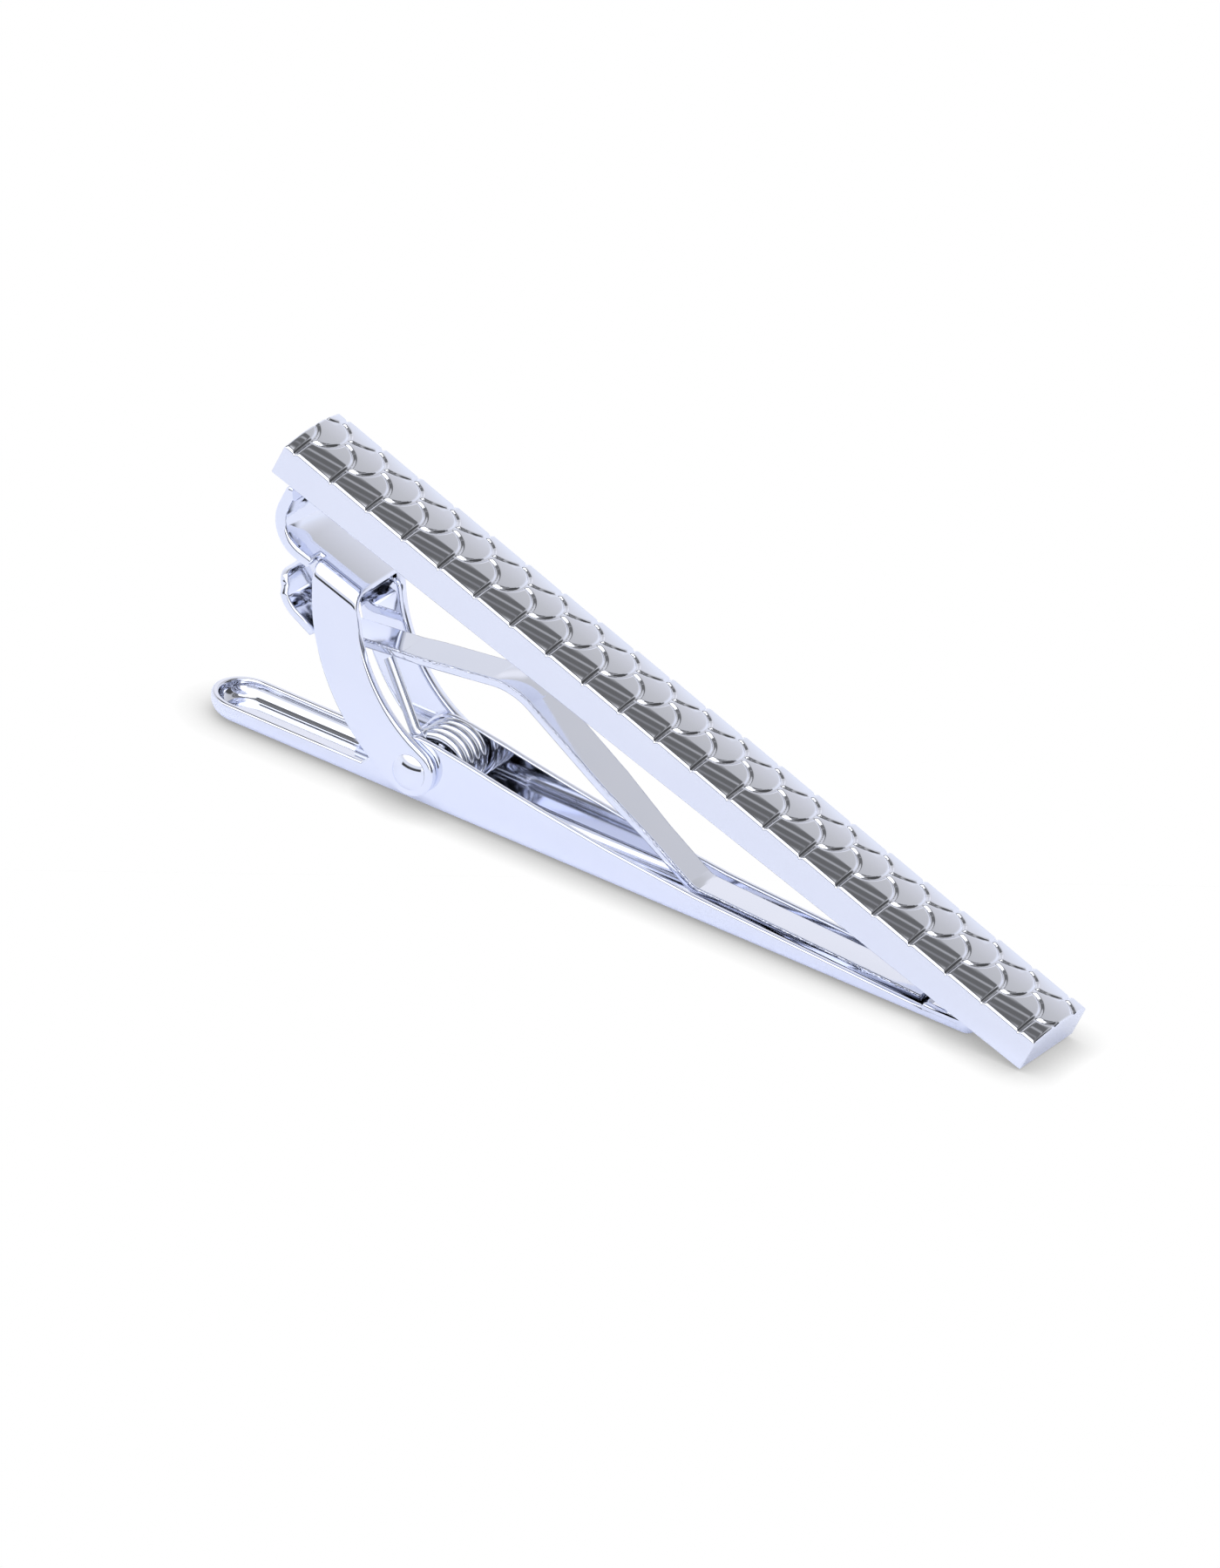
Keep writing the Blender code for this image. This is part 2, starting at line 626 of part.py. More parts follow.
def main():
    clear_scene()
    bright = plated("bright plate", BRIGHT_COLOUR, 0.07)
    plate = plated("bracket plate", PLATE_COLOUR, 0.09)
    jaw_plate = plated("jaw plate", PLATE_COLOUR, 0.10)
    strip_plate = plated("strip plate", PLATE_COLOUR, 0.10)
    pin_steel = plated("pin steel", PLATE_COLOUR, 0.14)
    spring_steel = plated("spring steel", STEEL_COLOUR, 0.22)

    # The bar's plane, tilted so that the jaw lies flat
    bar_plane = bpy.data.objects.new("bar plane", None)
    bpy.context.scene.collection.objects.link(bar_plane)
    bar_plane.rotation_euler = (0, PITCH, 0)

    # The pin's axis, and the jaw's own directions with it
    pin_axis = bpy.data.objects.new("pin axis", None)
    bpy.context.scene.collection.objects.link(pin_axis)
    pin_axis.parent = bar_plane
    pin_axis.location = (PIN_ALONG_BAR, 0, -PIN_DROP)
    pin_axis.rotation_euler = (0, -PITCH, 0)

    # The strip turns where its hook bears on the arms
    seat, out = hook_seat()
    hook_axis = bpy.data.objects.new("hook axis", None)
    bpy.context.scene.collection.objects.link(hook_axis)
    hook_axis.parent = bar_plane
    hook_axis.location = (seat.x, 0, seat.y)

    bar = build_bar(bar_plane, bright)
    build_bracket(bar_plane, pin_axis, plate)
    build_jaw(pin_axis, jaw_plate)
    strip = build_strip(hook_axis, strip_plate)
    strip.matrix_parent_inverse = Matrix.Translation((-seat.x, 0, -seat.y))
    build_pin(pin_axis, pin_steel)
    build_spring(pin_axis, spring_steel)

    # Stand the jaw on Z 0 and centre the clip's length on the origin
    bpy.context.view_layer.update()
    pin_place = pin_axis.matrix_world.translation
    tail = pin_place.x - JAW_TAIL
    graph = bpy.context.evaluated_depsgraph_get()
    shape = bar.evaluated_get(graph)
    far_end = max((shape.matrix_world @ vertex.co).x for vertex in shape.data.vertices)
    bar_plane.location = (-(tail + far_end) / 2, 0, JAW_PIN_HEIGHT - pin_place.z)
    bpy.context.view_layer.update()

    print("pitch, degrees:", round(math.degrees(PITCH), 4))
    print("pin axis, m:", [round(v, 7) for v in pin_axis.matrix_world.translation])
    print("hook axis, m:", [round(v, 7) for v in hook_axis.matrix_world.translation])
    print("bar plane, m:", [round(v, 7) for v in bar_plane.matrix_world.translation])
    print("strip turn for each turn of the jaw:", round(coupling_ratio(), 4))


main()
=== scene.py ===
"""Tie clip with a sprung back jaw: the finished pieces, their plated metal and a white studio.

The frame gives the moving bodies. The pieces here stand for its solids, with finer curves, eased
edges and the fish-scale engraving of the front bar.

Sizes are in metres. "Bar" coordinates run along the front bar from its hinge end, with Z up
from its back. "Jaw" coordinates run along the jaw from the pin's axis.
"""

import math

import bmesh
import bpy
from mathutils import Matrix, Vector


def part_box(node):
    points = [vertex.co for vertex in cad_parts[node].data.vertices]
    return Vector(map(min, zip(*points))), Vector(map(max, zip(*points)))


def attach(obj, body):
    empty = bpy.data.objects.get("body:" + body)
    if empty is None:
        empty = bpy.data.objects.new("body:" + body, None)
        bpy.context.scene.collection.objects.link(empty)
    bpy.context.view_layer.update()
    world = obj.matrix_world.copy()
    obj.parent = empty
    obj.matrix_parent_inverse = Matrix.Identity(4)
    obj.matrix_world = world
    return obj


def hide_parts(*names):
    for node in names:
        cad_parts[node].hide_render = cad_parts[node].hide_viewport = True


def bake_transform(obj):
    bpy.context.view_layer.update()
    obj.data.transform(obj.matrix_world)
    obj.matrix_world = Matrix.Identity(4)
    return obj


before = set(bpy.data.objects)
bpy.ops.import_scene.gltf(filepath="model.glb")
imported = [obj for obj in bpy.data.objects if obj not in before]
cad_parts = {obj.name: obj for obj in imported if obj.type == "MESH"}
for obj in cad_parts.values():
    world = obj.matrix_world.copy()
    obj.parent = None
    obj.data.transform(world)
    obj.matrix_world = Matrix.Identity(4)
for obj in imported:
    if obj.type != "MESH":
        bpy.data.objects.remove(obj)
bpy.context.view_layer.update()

# Front bar
BAR_LENGTH = 0.060
BAR_WIDTH = 0.0062
BAR_SIDE = 0.0023
BAR_CROWN = 0.00040
BAR_EDGE = 0.00016

# Fish scales
SCALE_PITCH = 0.0029
SCALE_FIRST = 0.0008
SCALE_COUNT = 22
SCALE_MIDDLE = 0.00035
SCALE_HALF = 0.00178
SCALE_NOSE = 0.00137
SCALE_FAR_START = 0.30
SCALE_FAR_SAG = 0.10
SCALE_STEPS = 18
SCALE_TWIST = 0.055
SCALE_TWIST_FROM = 0.2
GROOVE_REACH = 0.00019
GROOVE_DEPTH = 0.00014
FACE_COLUMNS = 880
FACE_ROWS = 92

# Bracket
BRACKET_SHEET = 0.00078
BRACKET_WIDTH = 0.0060
BRACKET_INSET = 0.00126
BRACKET_EASE = 0.00026
FOOT_LENGTH = 0.0072
FOOT_FOLD = 0.00010
FOOT_CORNER = 0.00040
ROOF_DROP = 0.00335
ROOF_MIDDLE = 0.00678
CURL_RADIUS = 0.0026
CURL_STEP_ANGLE = 4
SOLDER_GAP = 0.00002
ARM_WIDTH = 0.0033
ARM_BULGE = 0.00184
ARM_FOLD = 0.00120
ARM_NOTCH = 0.00014
ARM_COLUMNS = 8
ARM_STEPS = 36
FOLD_STEPS = 14
ROUND_STEPS = 40
PIN_LEAD = 0.00030

# Pin
PIN_ALONG_BAR = 0.01685
PIN_DROP = 0.01130
PIN_RADIUS = 0.00075
PIN_HEAD_RADIUS = 0.00115
PIN_HEAD_DOME = 0.00042
PIN_DOME_STEPS = 16
PIN_SIDES = 72
PIN_CREASE_ANGLE = 50
BORE_SIDES = 64
PIN_FIT = 0.00002
PIN_RUNNING_FIT = 0.00005

# Jaw
JAW_SHEET = 0.00045
JAW_WIDTH = 0.0045
JAW_SIDE_PLAY = 0.00005
JAW_TAIL = 0.01570
JAW_REACH = 0.04060
JAW_PIN_HEIGHT = 0.00254
JAW_EAR_RADIUS = 0.00205
JAW_EAR_LEAD = 0.0017
JAW_EAR_START_SHARE = 0.35
JAW_THUMB_WALL = 0.00145
JAW_TIP_RIM = 0.00100
JAW_TIP_HEIGHT = 0.00132
JAW_TIP_CORNER = 0.00098
JAW_BEND = 0.00115
JAW_INNER_BEND = 0.00080
JAW_LEAST_CORNER = 0.00008
JAW_TIP_GAP = 0.00006
JAW_EASE = 0.00016
JAW_BEND_STEPS = 14
JAW_THUMB_STEPS = 40
JAW_CORNER_STEPS = 12
JAW_EAR_STEPS = 24
RIM_SHARES = ((0.030, 0.97), (0.085, 0.875), (0.15, 0.745), (0.22, 0.62), (0.345, 0.42),
              (0.50, 0.24), (0.73, 0.10), (0.88, 0.01))
TOOTH_COUNT = 2
TOOTH_PITCH = 0.0017
TOOTH_LAND = 0.0004
TOOTH_BACK = 0.00012
TOOTH_RELIEF = 0.00014

# Strip
STRIP_SHEET = 0.00058
STRIP_WIDTH = 0.0030
STRIP_NECK = 0.0027
STRIP_TAIL = 0.0024
STRIP_HOOK_WIDTH = 0.0055
STRIP_HOOK_LENGTH = 0.0022
STRIP_HOOK_RISE = 0.00040
STRIP_HOOK_SHARE = 0.264
STRIP_HOOK_PLAY = 0.00012
STRIP_LIP_LENGTH = 0.00150
STRIP_LIP_RISE = 0.00145
STRIP_LIP_WIDTH = 0.0048
STRIP_LIP_CORNER = 0.00090
STRIP_LIP_SHARE = 0.6
STRIP_LIP_STEPS = 10
STRIP_VERTEX_LEAD = 0.00065
STRIP_KINK_ALONG = 0.01245
STRIP_KINK_DROP = 0.00560
STRIP_HUMP_ALONG = 0.01970
STRIP_HUMP_DROP = 0.00222
STRIP_VALLEY_REACH = 0.01960
STRIP_VALLEY_HEIGHT = 0.00190
STRIP_END_REACH = 0.03610
STRIP_FLOOR_PLAY = 0.00008
STRIP_BENDS = (0.0022, 0.0012, 0.0010, 0.0046, 0.0018)
STRIP_STEP_ANGLE = 1.5
STRIP_EDGE = 0.00017
STRIP_EDGE_STEPS = 4

# Spring, with the real close-wound wire
WIRE = 0.00074
WIRE_SIDES = 20
COIL_RADIUS = 0.00222
COIL_ALONG = 0.00088
COIL_RISE = 0.00028
COIL_WALL_PLAY = 0.00010
COIL_FULL_TURNS = 3
COIL_STEPS_PER_TURN = 40
SPRING_LOWER_LEG = 0.0060
SPRING_UPPER_REACH = 0.0112
SPRING_UPPER_PLAY = 0.00012
SPRING_BEND_ANGLE = 137
SPRING_BEND = 0.00060
SPRING_BEND_STEP = 8
SPRING_ROUTE_STEP = 5
LEG_STEPS = 24
LEG_TURN = 6

# Shading and clean-up
EASE_SEGMENTS = 4
EASE_ANGLE = 28
CREASE_ANGLE = 40
FLAT_ANGLE = 0.4
FLAT_WEIGHT = 80
OVERRUN = 0.0010
SLIVER = 0.000004

# Plate
CLOUD_SCALE = 300
HAIRLINE_SCALE = 2500
HAIRLINE_STRETCH = 0.04
HAIRLINES = 0.02
RIPPLE = 0.15
RIPPLE_DEPTH = 0.00001
BOW_MIDDLE = 0.0010
BRACKET_BOW = 0.00028
TEAR_SCALE = 3200
TEAR_DEPTH = 0.00009

# Table top
TABLE_HALF = 3
TABLE_COLOUR = (0.815, 0.837, 0.916, 1)
TABLE_GLOW_COLOUR = (0.876, 0.90, 0.985, 1)
TABLE_GLOW = 0.15
SHADOW_REACH = 0.0024
SHADOW_COLOUR = (0.30, 0.30, 0.30, 1)

# Derived sizes
HALF_BRACKET = BRACKET_WIDTH / 2
HALF_JAW = JAW_WIDTH / 2
ARM_INNER = HALF_JAW + JAW_SIDE_PLAY
ARM_THICK = HALF_BRACKET - ARM_INNER
JAW_INNER = HALF_JAW - JAW_SHEET
EAR_TOP = JAW_PIN_HEIGHT + JAW_EAR_RADIUS
TIP_DEPTH = JAW_PIN_HEIGHT - JAW_TIP_HEIGHT
TIP_SPAN = math.hypot(JAW_REACH, TIP_DEPTH)
PITCH = math.asin((PIN_DROP - JAW_TIP_GAP) / TIP_SPAN) + math.atan2(TIP_DEPTH, JAW_REACH)
COS_PITCH = math.cos(PITCH)
SIN_PITCH = math.sin(PITCH)
PIN_SPOT = Vector((PIN_ALONG_BAR, -PIN_DROP))

# Where the bar's plane and the jaw's plane lie, from the frame's own pin
PIN_LOW, PIN_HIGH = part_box("pivot_pin")
PIN_PLACE = (PIN_LOW + PIN_HIGH) / 2
BAR_TURN = Matrix.Rotation(PITCH, 4, "Y")
PIN_IN_BAR = Vector((PIN_ALONG_BAR, 0, -PIN_DROP))
BAR_PLANE = Matrix.Translation(PIN_PLACE - BAR_TURN @ PIN_IN_BAR) @ BAR_TURN
JAW_PLANE = Matrix.Translation(PIN_PLACE)


# Small makers

def jaw_to_bar(along, up):
    """A point of the jaw, from the pin and the resting face, in the bar's plane."""
    rise = up - JAW_PIN_HEIGHT
    x = PIN_ALONG_BAR + along * COS_PITCH - rise * SIN_PITCH
    z = -PIN_DROP + along * SIN_PITCH + rise * COS_PITCH
    return Vector((x, z))


def turned(start, radius, first, last, steps):
    """Points on an arc round a centre, angles in radians."""
    points = []
    for i in range(steps + 1):
        angle = first + (last - first) * i / steps
        points.append(start + radius * Vector((math.cos(angle), math.sin(angle))))
    return points


def rounded_path(corners, bends, turn_per_step):
    """Points along straight runs that are joined by arcs of the given radii."""
    points = [corners[0]]
    for before, corner, after, bend in zip(corners, corners[1:], corners[2:], bends):
        arrive = (corner - before).normalized()
        leave = (after - corner).normalized()
        turn = math.atan2(arrive.x * leave.y - arrive.y * leave.x, arrive.dot(leave))
        back = bend * math.tan(abs(turn) / 2)
        side = Vector((-arrive.y, arrive.x)) * math.copysign(bend, turn)
        centre = corner - arrive * back + side
        first = math.atan2(-side.y, -side.x)
        steps = max(2, round(abs(turn) / turn_per_step))
        points += turned(centre, bend, first, first + turn, steps)
    points.append(corners[-1])
    return points


def normals_of(points):
    """Unit normals, to the left of the direction of travel."""
    normals = []
    for i in range(len(points)):
        ahead = points[min(i + 1, len(points) - 1)]
        behind = points[max(i - 1, 0)]
        run = (ahead - behind).normalized()
        normals.append(Vector((-run.y, run.x)))
    return normals


def loft(rings):
    """A closed solid through rings that hold the same number of points."""
    bm = bmesh.new()
    rows = [[bm.verts.new(point) for point in ring] for ring in rings]
    count = len(rows[0])
    for lower, upper in zip(rows, rows[1:]):
        for i in range(count):
            j = (i + 1) % count
            bm.faces.new((lower[i], lower[j], upper[j], upper[i]))
    bm.faces.new(rows[0])
    bm.faces.new(rows[-1])
    bmesh.ops.recalc_face_normals(bm, faces=bm.faces)
    return bm


def across(outline):
    """An outline in X and Z, carried along Y past both sides of the clip."""
    return loft([[(x, side, z) for x, z in outline] for side in (-BAR_WIDTH, BAR_WIDTH)])


def threads(paths):
    """A mesh of bare edges along each path of points."""
    bm = bmesh.new()
    for path in paths:
        verts = [bm.verts.new(point) for point in path]
        for pair in zip(verts, verts[1:]):
            bm.edges.new(pair)
    return bm


def placed(name, data):
    """A new object in the scene."""
    item = bpy.data.objects.new(name, data)
    bpy.context.scene.collection.objects.link(item)
    return item


def linked(name, bm):
    """A new object from mesh code."""
    mesh = bpy.data.meshes.new(name)
    bm.to_mesh(mesh)
    bm.free()
    mesh.shade_smooth()
    return placed(name, mesh)


def settled(item, place, name, tools=()):
    """Turns an object and its modifiers into a plain mesh in the row frame."""
    bpy.context.view_layer.update()
    graph = bpy.context.evaluated_depsgraph_get()
    mesh = bpy.data.meshes.new_from_object(item.evaluated_get(graph), depsgraph=graph)
    mesh.transform(place)
    piece = placed(name, mesh)
    for used in (item, *tools):
        bpy.data.objects.remove(used, do_unlink=True)
    return piece


def combine(item, other, operation):
    """Cuts another solid away or keeps what it covers; returns that solid to be removed."""
    tool = linked(item.name + " tool", other)
    modifier = item.modifiers.new(operation.lower(), "BOOLEAN")
    modifier.operation = operation
    modifier.solver = "EXACT"
    modifier.object = tool
    return tool


def add_bevel(item, width, limit):
    """Eases the edges that the limit picks out."""
    bevel = item.modifiers.new("eased edges", "BEVEL")
    bevel.width = width
    bevel.segments = EASE_SEGMENTS
    bevel.limit_method = limit
    bevel.angle_limit = math.radians(EASE_ANGLE)
    bevel.use_clamp_overlap = False


def eased(item, width, tools):
    """Settles the cuts, cleans their slivers, then eases every edge."""
    cut = settled(item, Matrix(), item.name, tools)
    bm = bmesh.new()
    bm.from_mesh(cut.data)
    bmesh.ops.remove_doubles(bm, verts=bm.verts, dist=SLIVER)
    bmesh.ops.dissolve_degenerate(bm, edges=bm.edges, dist=SLIVER)
    bmesh.ops.dissolve_limit(bm, verts=bm.verts, edges=bm.edges,
                             angle_limit=math.radians(FLAT_ANGLE))
    bm.to_mesh(cut.data)
    bm.free()
    add_bevel(cut, width, "ANGLE")
    return settled(cut, Matrix(), cut.name)


def with_flat_flats(item, place, name, keep_sharp=False):
    """Settles a piece whose large faces shade flat beside their eased edges."""
    flats = item.modifiers.new("flat flats", "WEIGHTED_NORMAL")
    flats.weight = FLAT_WEIGHT
    flats.keep_sharp = keep_sharp
    return settled(item, place, name)


def polished(item, place, name):
    """Settles a pressed piece with flat flats, smooth bends and its creases."""
    item.data.shade_smooth()
    item.data.set_sharp_from_angle(angle=math.radians(CREASE_ANGLE))
    return with_flat_flats(item, place, name, keep_sharp=True)


def coated(piece, material):
    """A piece in its one material."""
    piece.data.materials.clear()
    piece.data.materials.append(material)
    return piece


def join_up(piece, body, node, material):
    """Lets a piece stand for its node: it gets its material and its body, and the node is hidden.
    """
    coated(piece, material)
    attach(piece, body)
    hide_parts(node)


# Node trees

def feed(tree, value, socket):
    """Links one socket to another, or gives it a plain value."""
    if isinstance(value, bpy.types.NodeSocket):
        tree.links.new(value, socket)
    else:
        socket.default_value = value


def add(tree, kind, inputs=None):
    """One node, with a value or a socket for each named input."""
    node = tree.nodes.new(kind)
    for label, value in (inputs or {}).items():
        feed(tree, value, node.inputs[label])
    return node


def math_node(tree, operation, *values, clamp=False):
    """One Math node's result: each value is a number or a socket."""
    node = tree.nodes.new("ShaderNodeMath")
    node.operation = operation
    node.use_clamp = clamp
    for socket, value in zip(node.inputs, values):
        feed(tree, value, socket)
    return node.outputs[0]


def mixed(tree, share, first, second):
    """One colour Mix node's result."""
    node = tree.nodes.new("ShaderNodeMix")
    node.data_type = "RGBA"
    for label, value in (("Factor", share), ("A", first), ("B", second)):
        feed(tree, value, node.inputs[label])
    return node.outputs["Result"]


def new_tree(name, kind, inputs, outputs):
    """A node group; each row gives a kind of socket and the sockets' names."""
    tree = bpy.data.node_groups.new(name, kind)
    for way, rows in (("INPUT", inputs), ("OUTPUT", outputs)):
        for socket, *labels in rows:
            for label in labels:
                tree.interface.new_socket(name=label, in_out=way, socket_type=socket)
    return tree, add(tree, "NodeGroupInput").outputs, add(tree, "NodeGroupOutput").inputs


def end_tree(tree, geometry, material, out):
    """A geometry tree's end: real faces, in their material."""
    whole = add(tree, "GeometryNodeRealizeInstances", {"Geometry": geometry})
    painted = add(tree, "GeometryNodeSetMaterial",
                  {"Geometry": whole.outputs["Geometry"], "Material": material})
    feed(tree, painted.outputs["Geometry"], out["Geometry"])


def set_input(modifier, label, value):
    """Sets a geometry tree's input by its socket's identifier."""
    for socket in modifier.node_group.interface.items_tree:
        if socket.item_type == "SOCKET" and socket.in_out == "INPUT" and socket.name == label:
            modifier[socket.identifier] = value


# Finishes

def make_polish_group():
    """Plated metal's fine life: a slight cloudiness, hairlines, and a soft orange peel."""
    tree, given, out = new_tree(
        "polished plate", "ShaderNodeTree",
        (("NodeSocketColor", "Colour", "Shade"),
         ("NodeSocketFloat", "Roughness", "Cloud Scale", "Hairline Scale", "Hairlines",
          "Ripple", "Dish")),
        (("NodeSocketColor", "Colour"), ("NodeSocketFloat", "Roughness"),
         ("NodeSocketVector", "Normal")))
    place = add(tree, "ShaderNodeTexCoord").outputs["Object"]
    cloud = add(tree, "ShaderNodeTexNoise", {
        "Vector": place, "Scale": given["Cloud Scale"], "Detail": 3}).outputs["Fac"]
    stretch = add(tree, "ShaderNodeMapping", {
        "Vector": place, "Scale": (HAIRLINE_STRETCH, 1, 1)}).outputs["Vector"]
    hair = add(tree, "ShaderNodeTexNoise", {
        "Vector": stretch, "Scale": given["Hairline Scale"], "Detail": 2}).outputs["Fac"]
    feed(tree, mixed(tree, cloud, given["Colour"], given["Shade"]), out["Colour"])
    spread = math_node(tree, "MULTIPLY", hair, given["Hairlines"])
    feed(tree, math_node(tree, "ADD", spread, given["Roughness"]), out["Roughness"])

    # Pressed sheet bows a little across its width
    side = add(tree, "ShaderNodeSeparateXYZ", {"Vector": place}).outputs["Y"]
    share = math_node(tree, "DIVIDE", math_node(tree, "ADD", side, BOW_MIDDLE), BAR_WIDTH / 2)
    bow = math_node(tree, "MULTIPLY", math_node(tree, "MULTIPLY", share, share), given["Dish"])
    dish = add(tree, "ShaderNodeBump", {"Strength": 1, "Distance": 1, "Height": bow})
    dish.invert = True
    peel = add(tree, "ShaderNodeBump", {
        "Strength": given["Ripple"], "Distance": RIPPLE_DEPTH, "Height": cloud,
        "Normal": dish.outputs["Normal"]})
    feed(tree, peel.outputs["Normal"], out["Normal"])
    return tree


def plated(name, group, colour, shade, roughness, dish=0):
    """A plated metal that uses the shared polish."""
    material = bpy.data.materials.new(name)
    material.use_nodes = True
    tree = material.node_tree
    shader = tree.nodes["Principled BSDF"]
    shader.inputs["Metallic"].default_value = 1
    polish = tree.nodes.new("ShaderNodeGroup")
    polish.node_tree = group
    for label, value in (
            ("Colour", (*colour, 1)), ("Shade", (*shade, 1)), ("Roughness", roughness),
            ("Cloud Scale", CLOUD_SCALE), ("Hairline Scale", HAIRLINE_SCALE),
            ("Hairlines", HAIRLINES), ("Ripple", RIPPLE), ("Dish", dish)):
        feed(tree, value, polish.inputs[label])
    for label, target in (("Colour", "Base Color"), ("Roughness", "Roughness"),
                          ("Normal", "Normal")):
        feed(tree, polish.outputs[label], shader.inputs[target])
    return material


def with_sheared_edge(material):
    """Adds the broken, sparkling line that shearing leaves along a strip's edge."""
    tree = material.node_tree
    normal = tree.nodes["Principled BSDF"].inputs["Normal"]
    edge = add(tree, "ShaderNodeAttribute")
    edge.attribute_name = "sheared_edge"
    place = add(tree, "ShaderNodeTexCoord").outputs["Object"]
    tears = add(tree, "ShaderNodeTexNoise", {
        "Vector": place, "Scale": TEAR_SCALE, "Detail": 2}).outputs["Fac"]
    bump = add(tree, "ShaderNodeBump", {
        "Strength": 1, "Distance": TEAR_DEPTH,
        "Height": math_node(tree, "MULTIPLY", tears, edge.outputs["Fac"]),
        "Normal": normal.links[0].from_socket})
    feed(tree, bump.outputs["Normal"], normal)
    return material


# Front bar

def scale_outline():
    """One fish scale's grooves: the middle scale's nose, and the sides of its neighbours."""
    middle = Vector((0, SCALE_MIDDLE))
    half_pitch = SCALE_PITCH / 2
    # The far neighbour starts a little higher on the nose and runs straighter
    start = Vector((SCALE_NOSE, middle.y + SCALE_HALF * SCALE_FAR_START))
    last = Vector((SCALE_PITCH, middle.y + SCALE_HALF))
    sag = (last - start).orthogonal().normalized() * SCALE_HALF * SCALE_FAR_SAG
    nose = []
    near = []
    far = []
    for i in range(SCALE_STEPS + 1):
        share = i / SCALE_STEPS
        angle = -math.pi / 2 + math.pi * i / SCALE_STEPS
        nose.append((SCALE_NOSE * math.cos(angle), middle.y + SCALE_HALF * math.sin(angle)))
        # From the nose round to the next scale
        angle = math.pi / 2 * (1 - share)
        near.append((half_pitch + half_pitch * math.cos(angle),
                     middle.y - SCALE_HALF + SCALE_HALF * math.sin(angle)))
        far.append(start.lerp(last, share) - sag * 4 * share * (1 - share))
    # Both neighbours then run straight to the bar's edge
    paths = nose, near + [(SCALE_PITCH, -BAR_WIDTH)], far + [(SCALE_PITCH, BAR_WIDTH)]
    return [[(x, y, 0) for x, y in path] for path in paths]


def make_engraving_tree(material):
    """The bar's crowned face with a groove along every copy of the scale outline."""
    tree, given, out = new_tree(
        "engraved face", "GeometryNodeTree",
        (("NodeSocketFloat", "Length", "Width", "Inset", "Bar Width", "Side Height", "Crown",
          "First Scale", "Scale Pitch", "Groove Reach", "Groove Depth", "Scale Twist"),
         ("NodeSocketInt", "Columns", "Rows", "Scale Count"), ("NodeSocketObject", "Outline")),
        (("NodeSocketGeometry", "Geometry"),))

    def calc(operation, *values):
        return math_node(tree, operation, *values)

    def vector(axis, value):
        return add(tree, "ShaderNodeCombineXYZ", {axis: value}).outputs["Vector"]

    # A flat grid from the bar's hinge end
    grid = add(tree, "GeometryNodeMeshGrid", {
        "Size X": given["Length"], "Size Y": given["Width"],
        "Vertices X": given["Columns"], "Vertices Y": given["Rows"]})
    flat = add(tree, "GeometryNodeSetPosition", {
        "Geometry": grid.outputs["Mesh"],
        "Offset": vector("X", calc("MULTIPLY_ADD", given["Length"], 0.5, given["Inset"]))})

    # The scale outlines, one pitch apart
    row = add(tree, "GeometryNodeMeshLine", {
        "Count": given["Scale Count"], "Offset": vector("X", given["Scale Pitch"]),
        "Start Location": vector("X", calc("SUBTRACT", given["First Scale"],
                                           given["Scale Pitch"]))})
    shape = add(tree, "GeometryNodeObjectInfo", {"Object": given["Outline"]})
    copies = add(tree, "GeometryNodeInstanceOnPoints", {
        "Points": row.outputs["Mesh"], "Instance": shape.outputs["Geometry"]})
    lines = add(tree, "GeometryNodeRealizeInstances", {"Geometry": copies.outputs["Instances"]})

    # How deep the groove is at each point
    near = add(tree, "GeometryNodeProximity", {"Geometry": lines.outputs["Geometry"]})
    near.target_element = "EDGES"
    groove = add(tree, "ShaderNodeMapRange", {
        "Value": near.outputs["Distance"], "From Max": given["Groove Reach"],
        "To Min": calc("MULTIPLY", given["Groove Depth"], -1.0), "To Max": 0})

    # The crown, and the way each edge scale leans towards its free end
    spot = add(tree, "ShaderNodeSeparateXYZ", {
        "Vector": add(tree, "GeometryNodeInputPosition").outputs["Position"]}).outputs
    share = calc("DIVIDE", calc("MULTIPLY", spot["Y"], 2.0), given["Bar Width"])
    arch = calc("SUBTRACT", 1.0, calc("MULTIPLY", share, share))
    crown = calc("MULTIPLY_ADD", arch, given["Crown"], given["Side Height"])
    phase = calc("FRACT", calc("DIVIDE", calc("SUBTRACT", spot["X"], given["First Scale"]),
                               given["Scale Pitch"]))
    outside = calc("SUBTRACT", calc("ABSOLUTE", spot["Y"]),
                   calc("MULTIPLY", given["Bar Width"], SCALE_TWIST_FROM))
    lean = calc("MULTIPLY", calc("MULTIPLY", calc("MAXIMUM", outside, 0.0), phase),
                given["Scale Twist"])
    height = calc("SUBTRACT", calc("ADD", crown, groove.outputs["Result"]), lean)
    lift = add(tree, "GeometryNodeSetPosition", {
        "Geometry": flat.outputs["Geometry"], "Offset": vector("Z", height)})
    end_tree(tree, lift.outputs["Geometry"], material, out)
    return tree


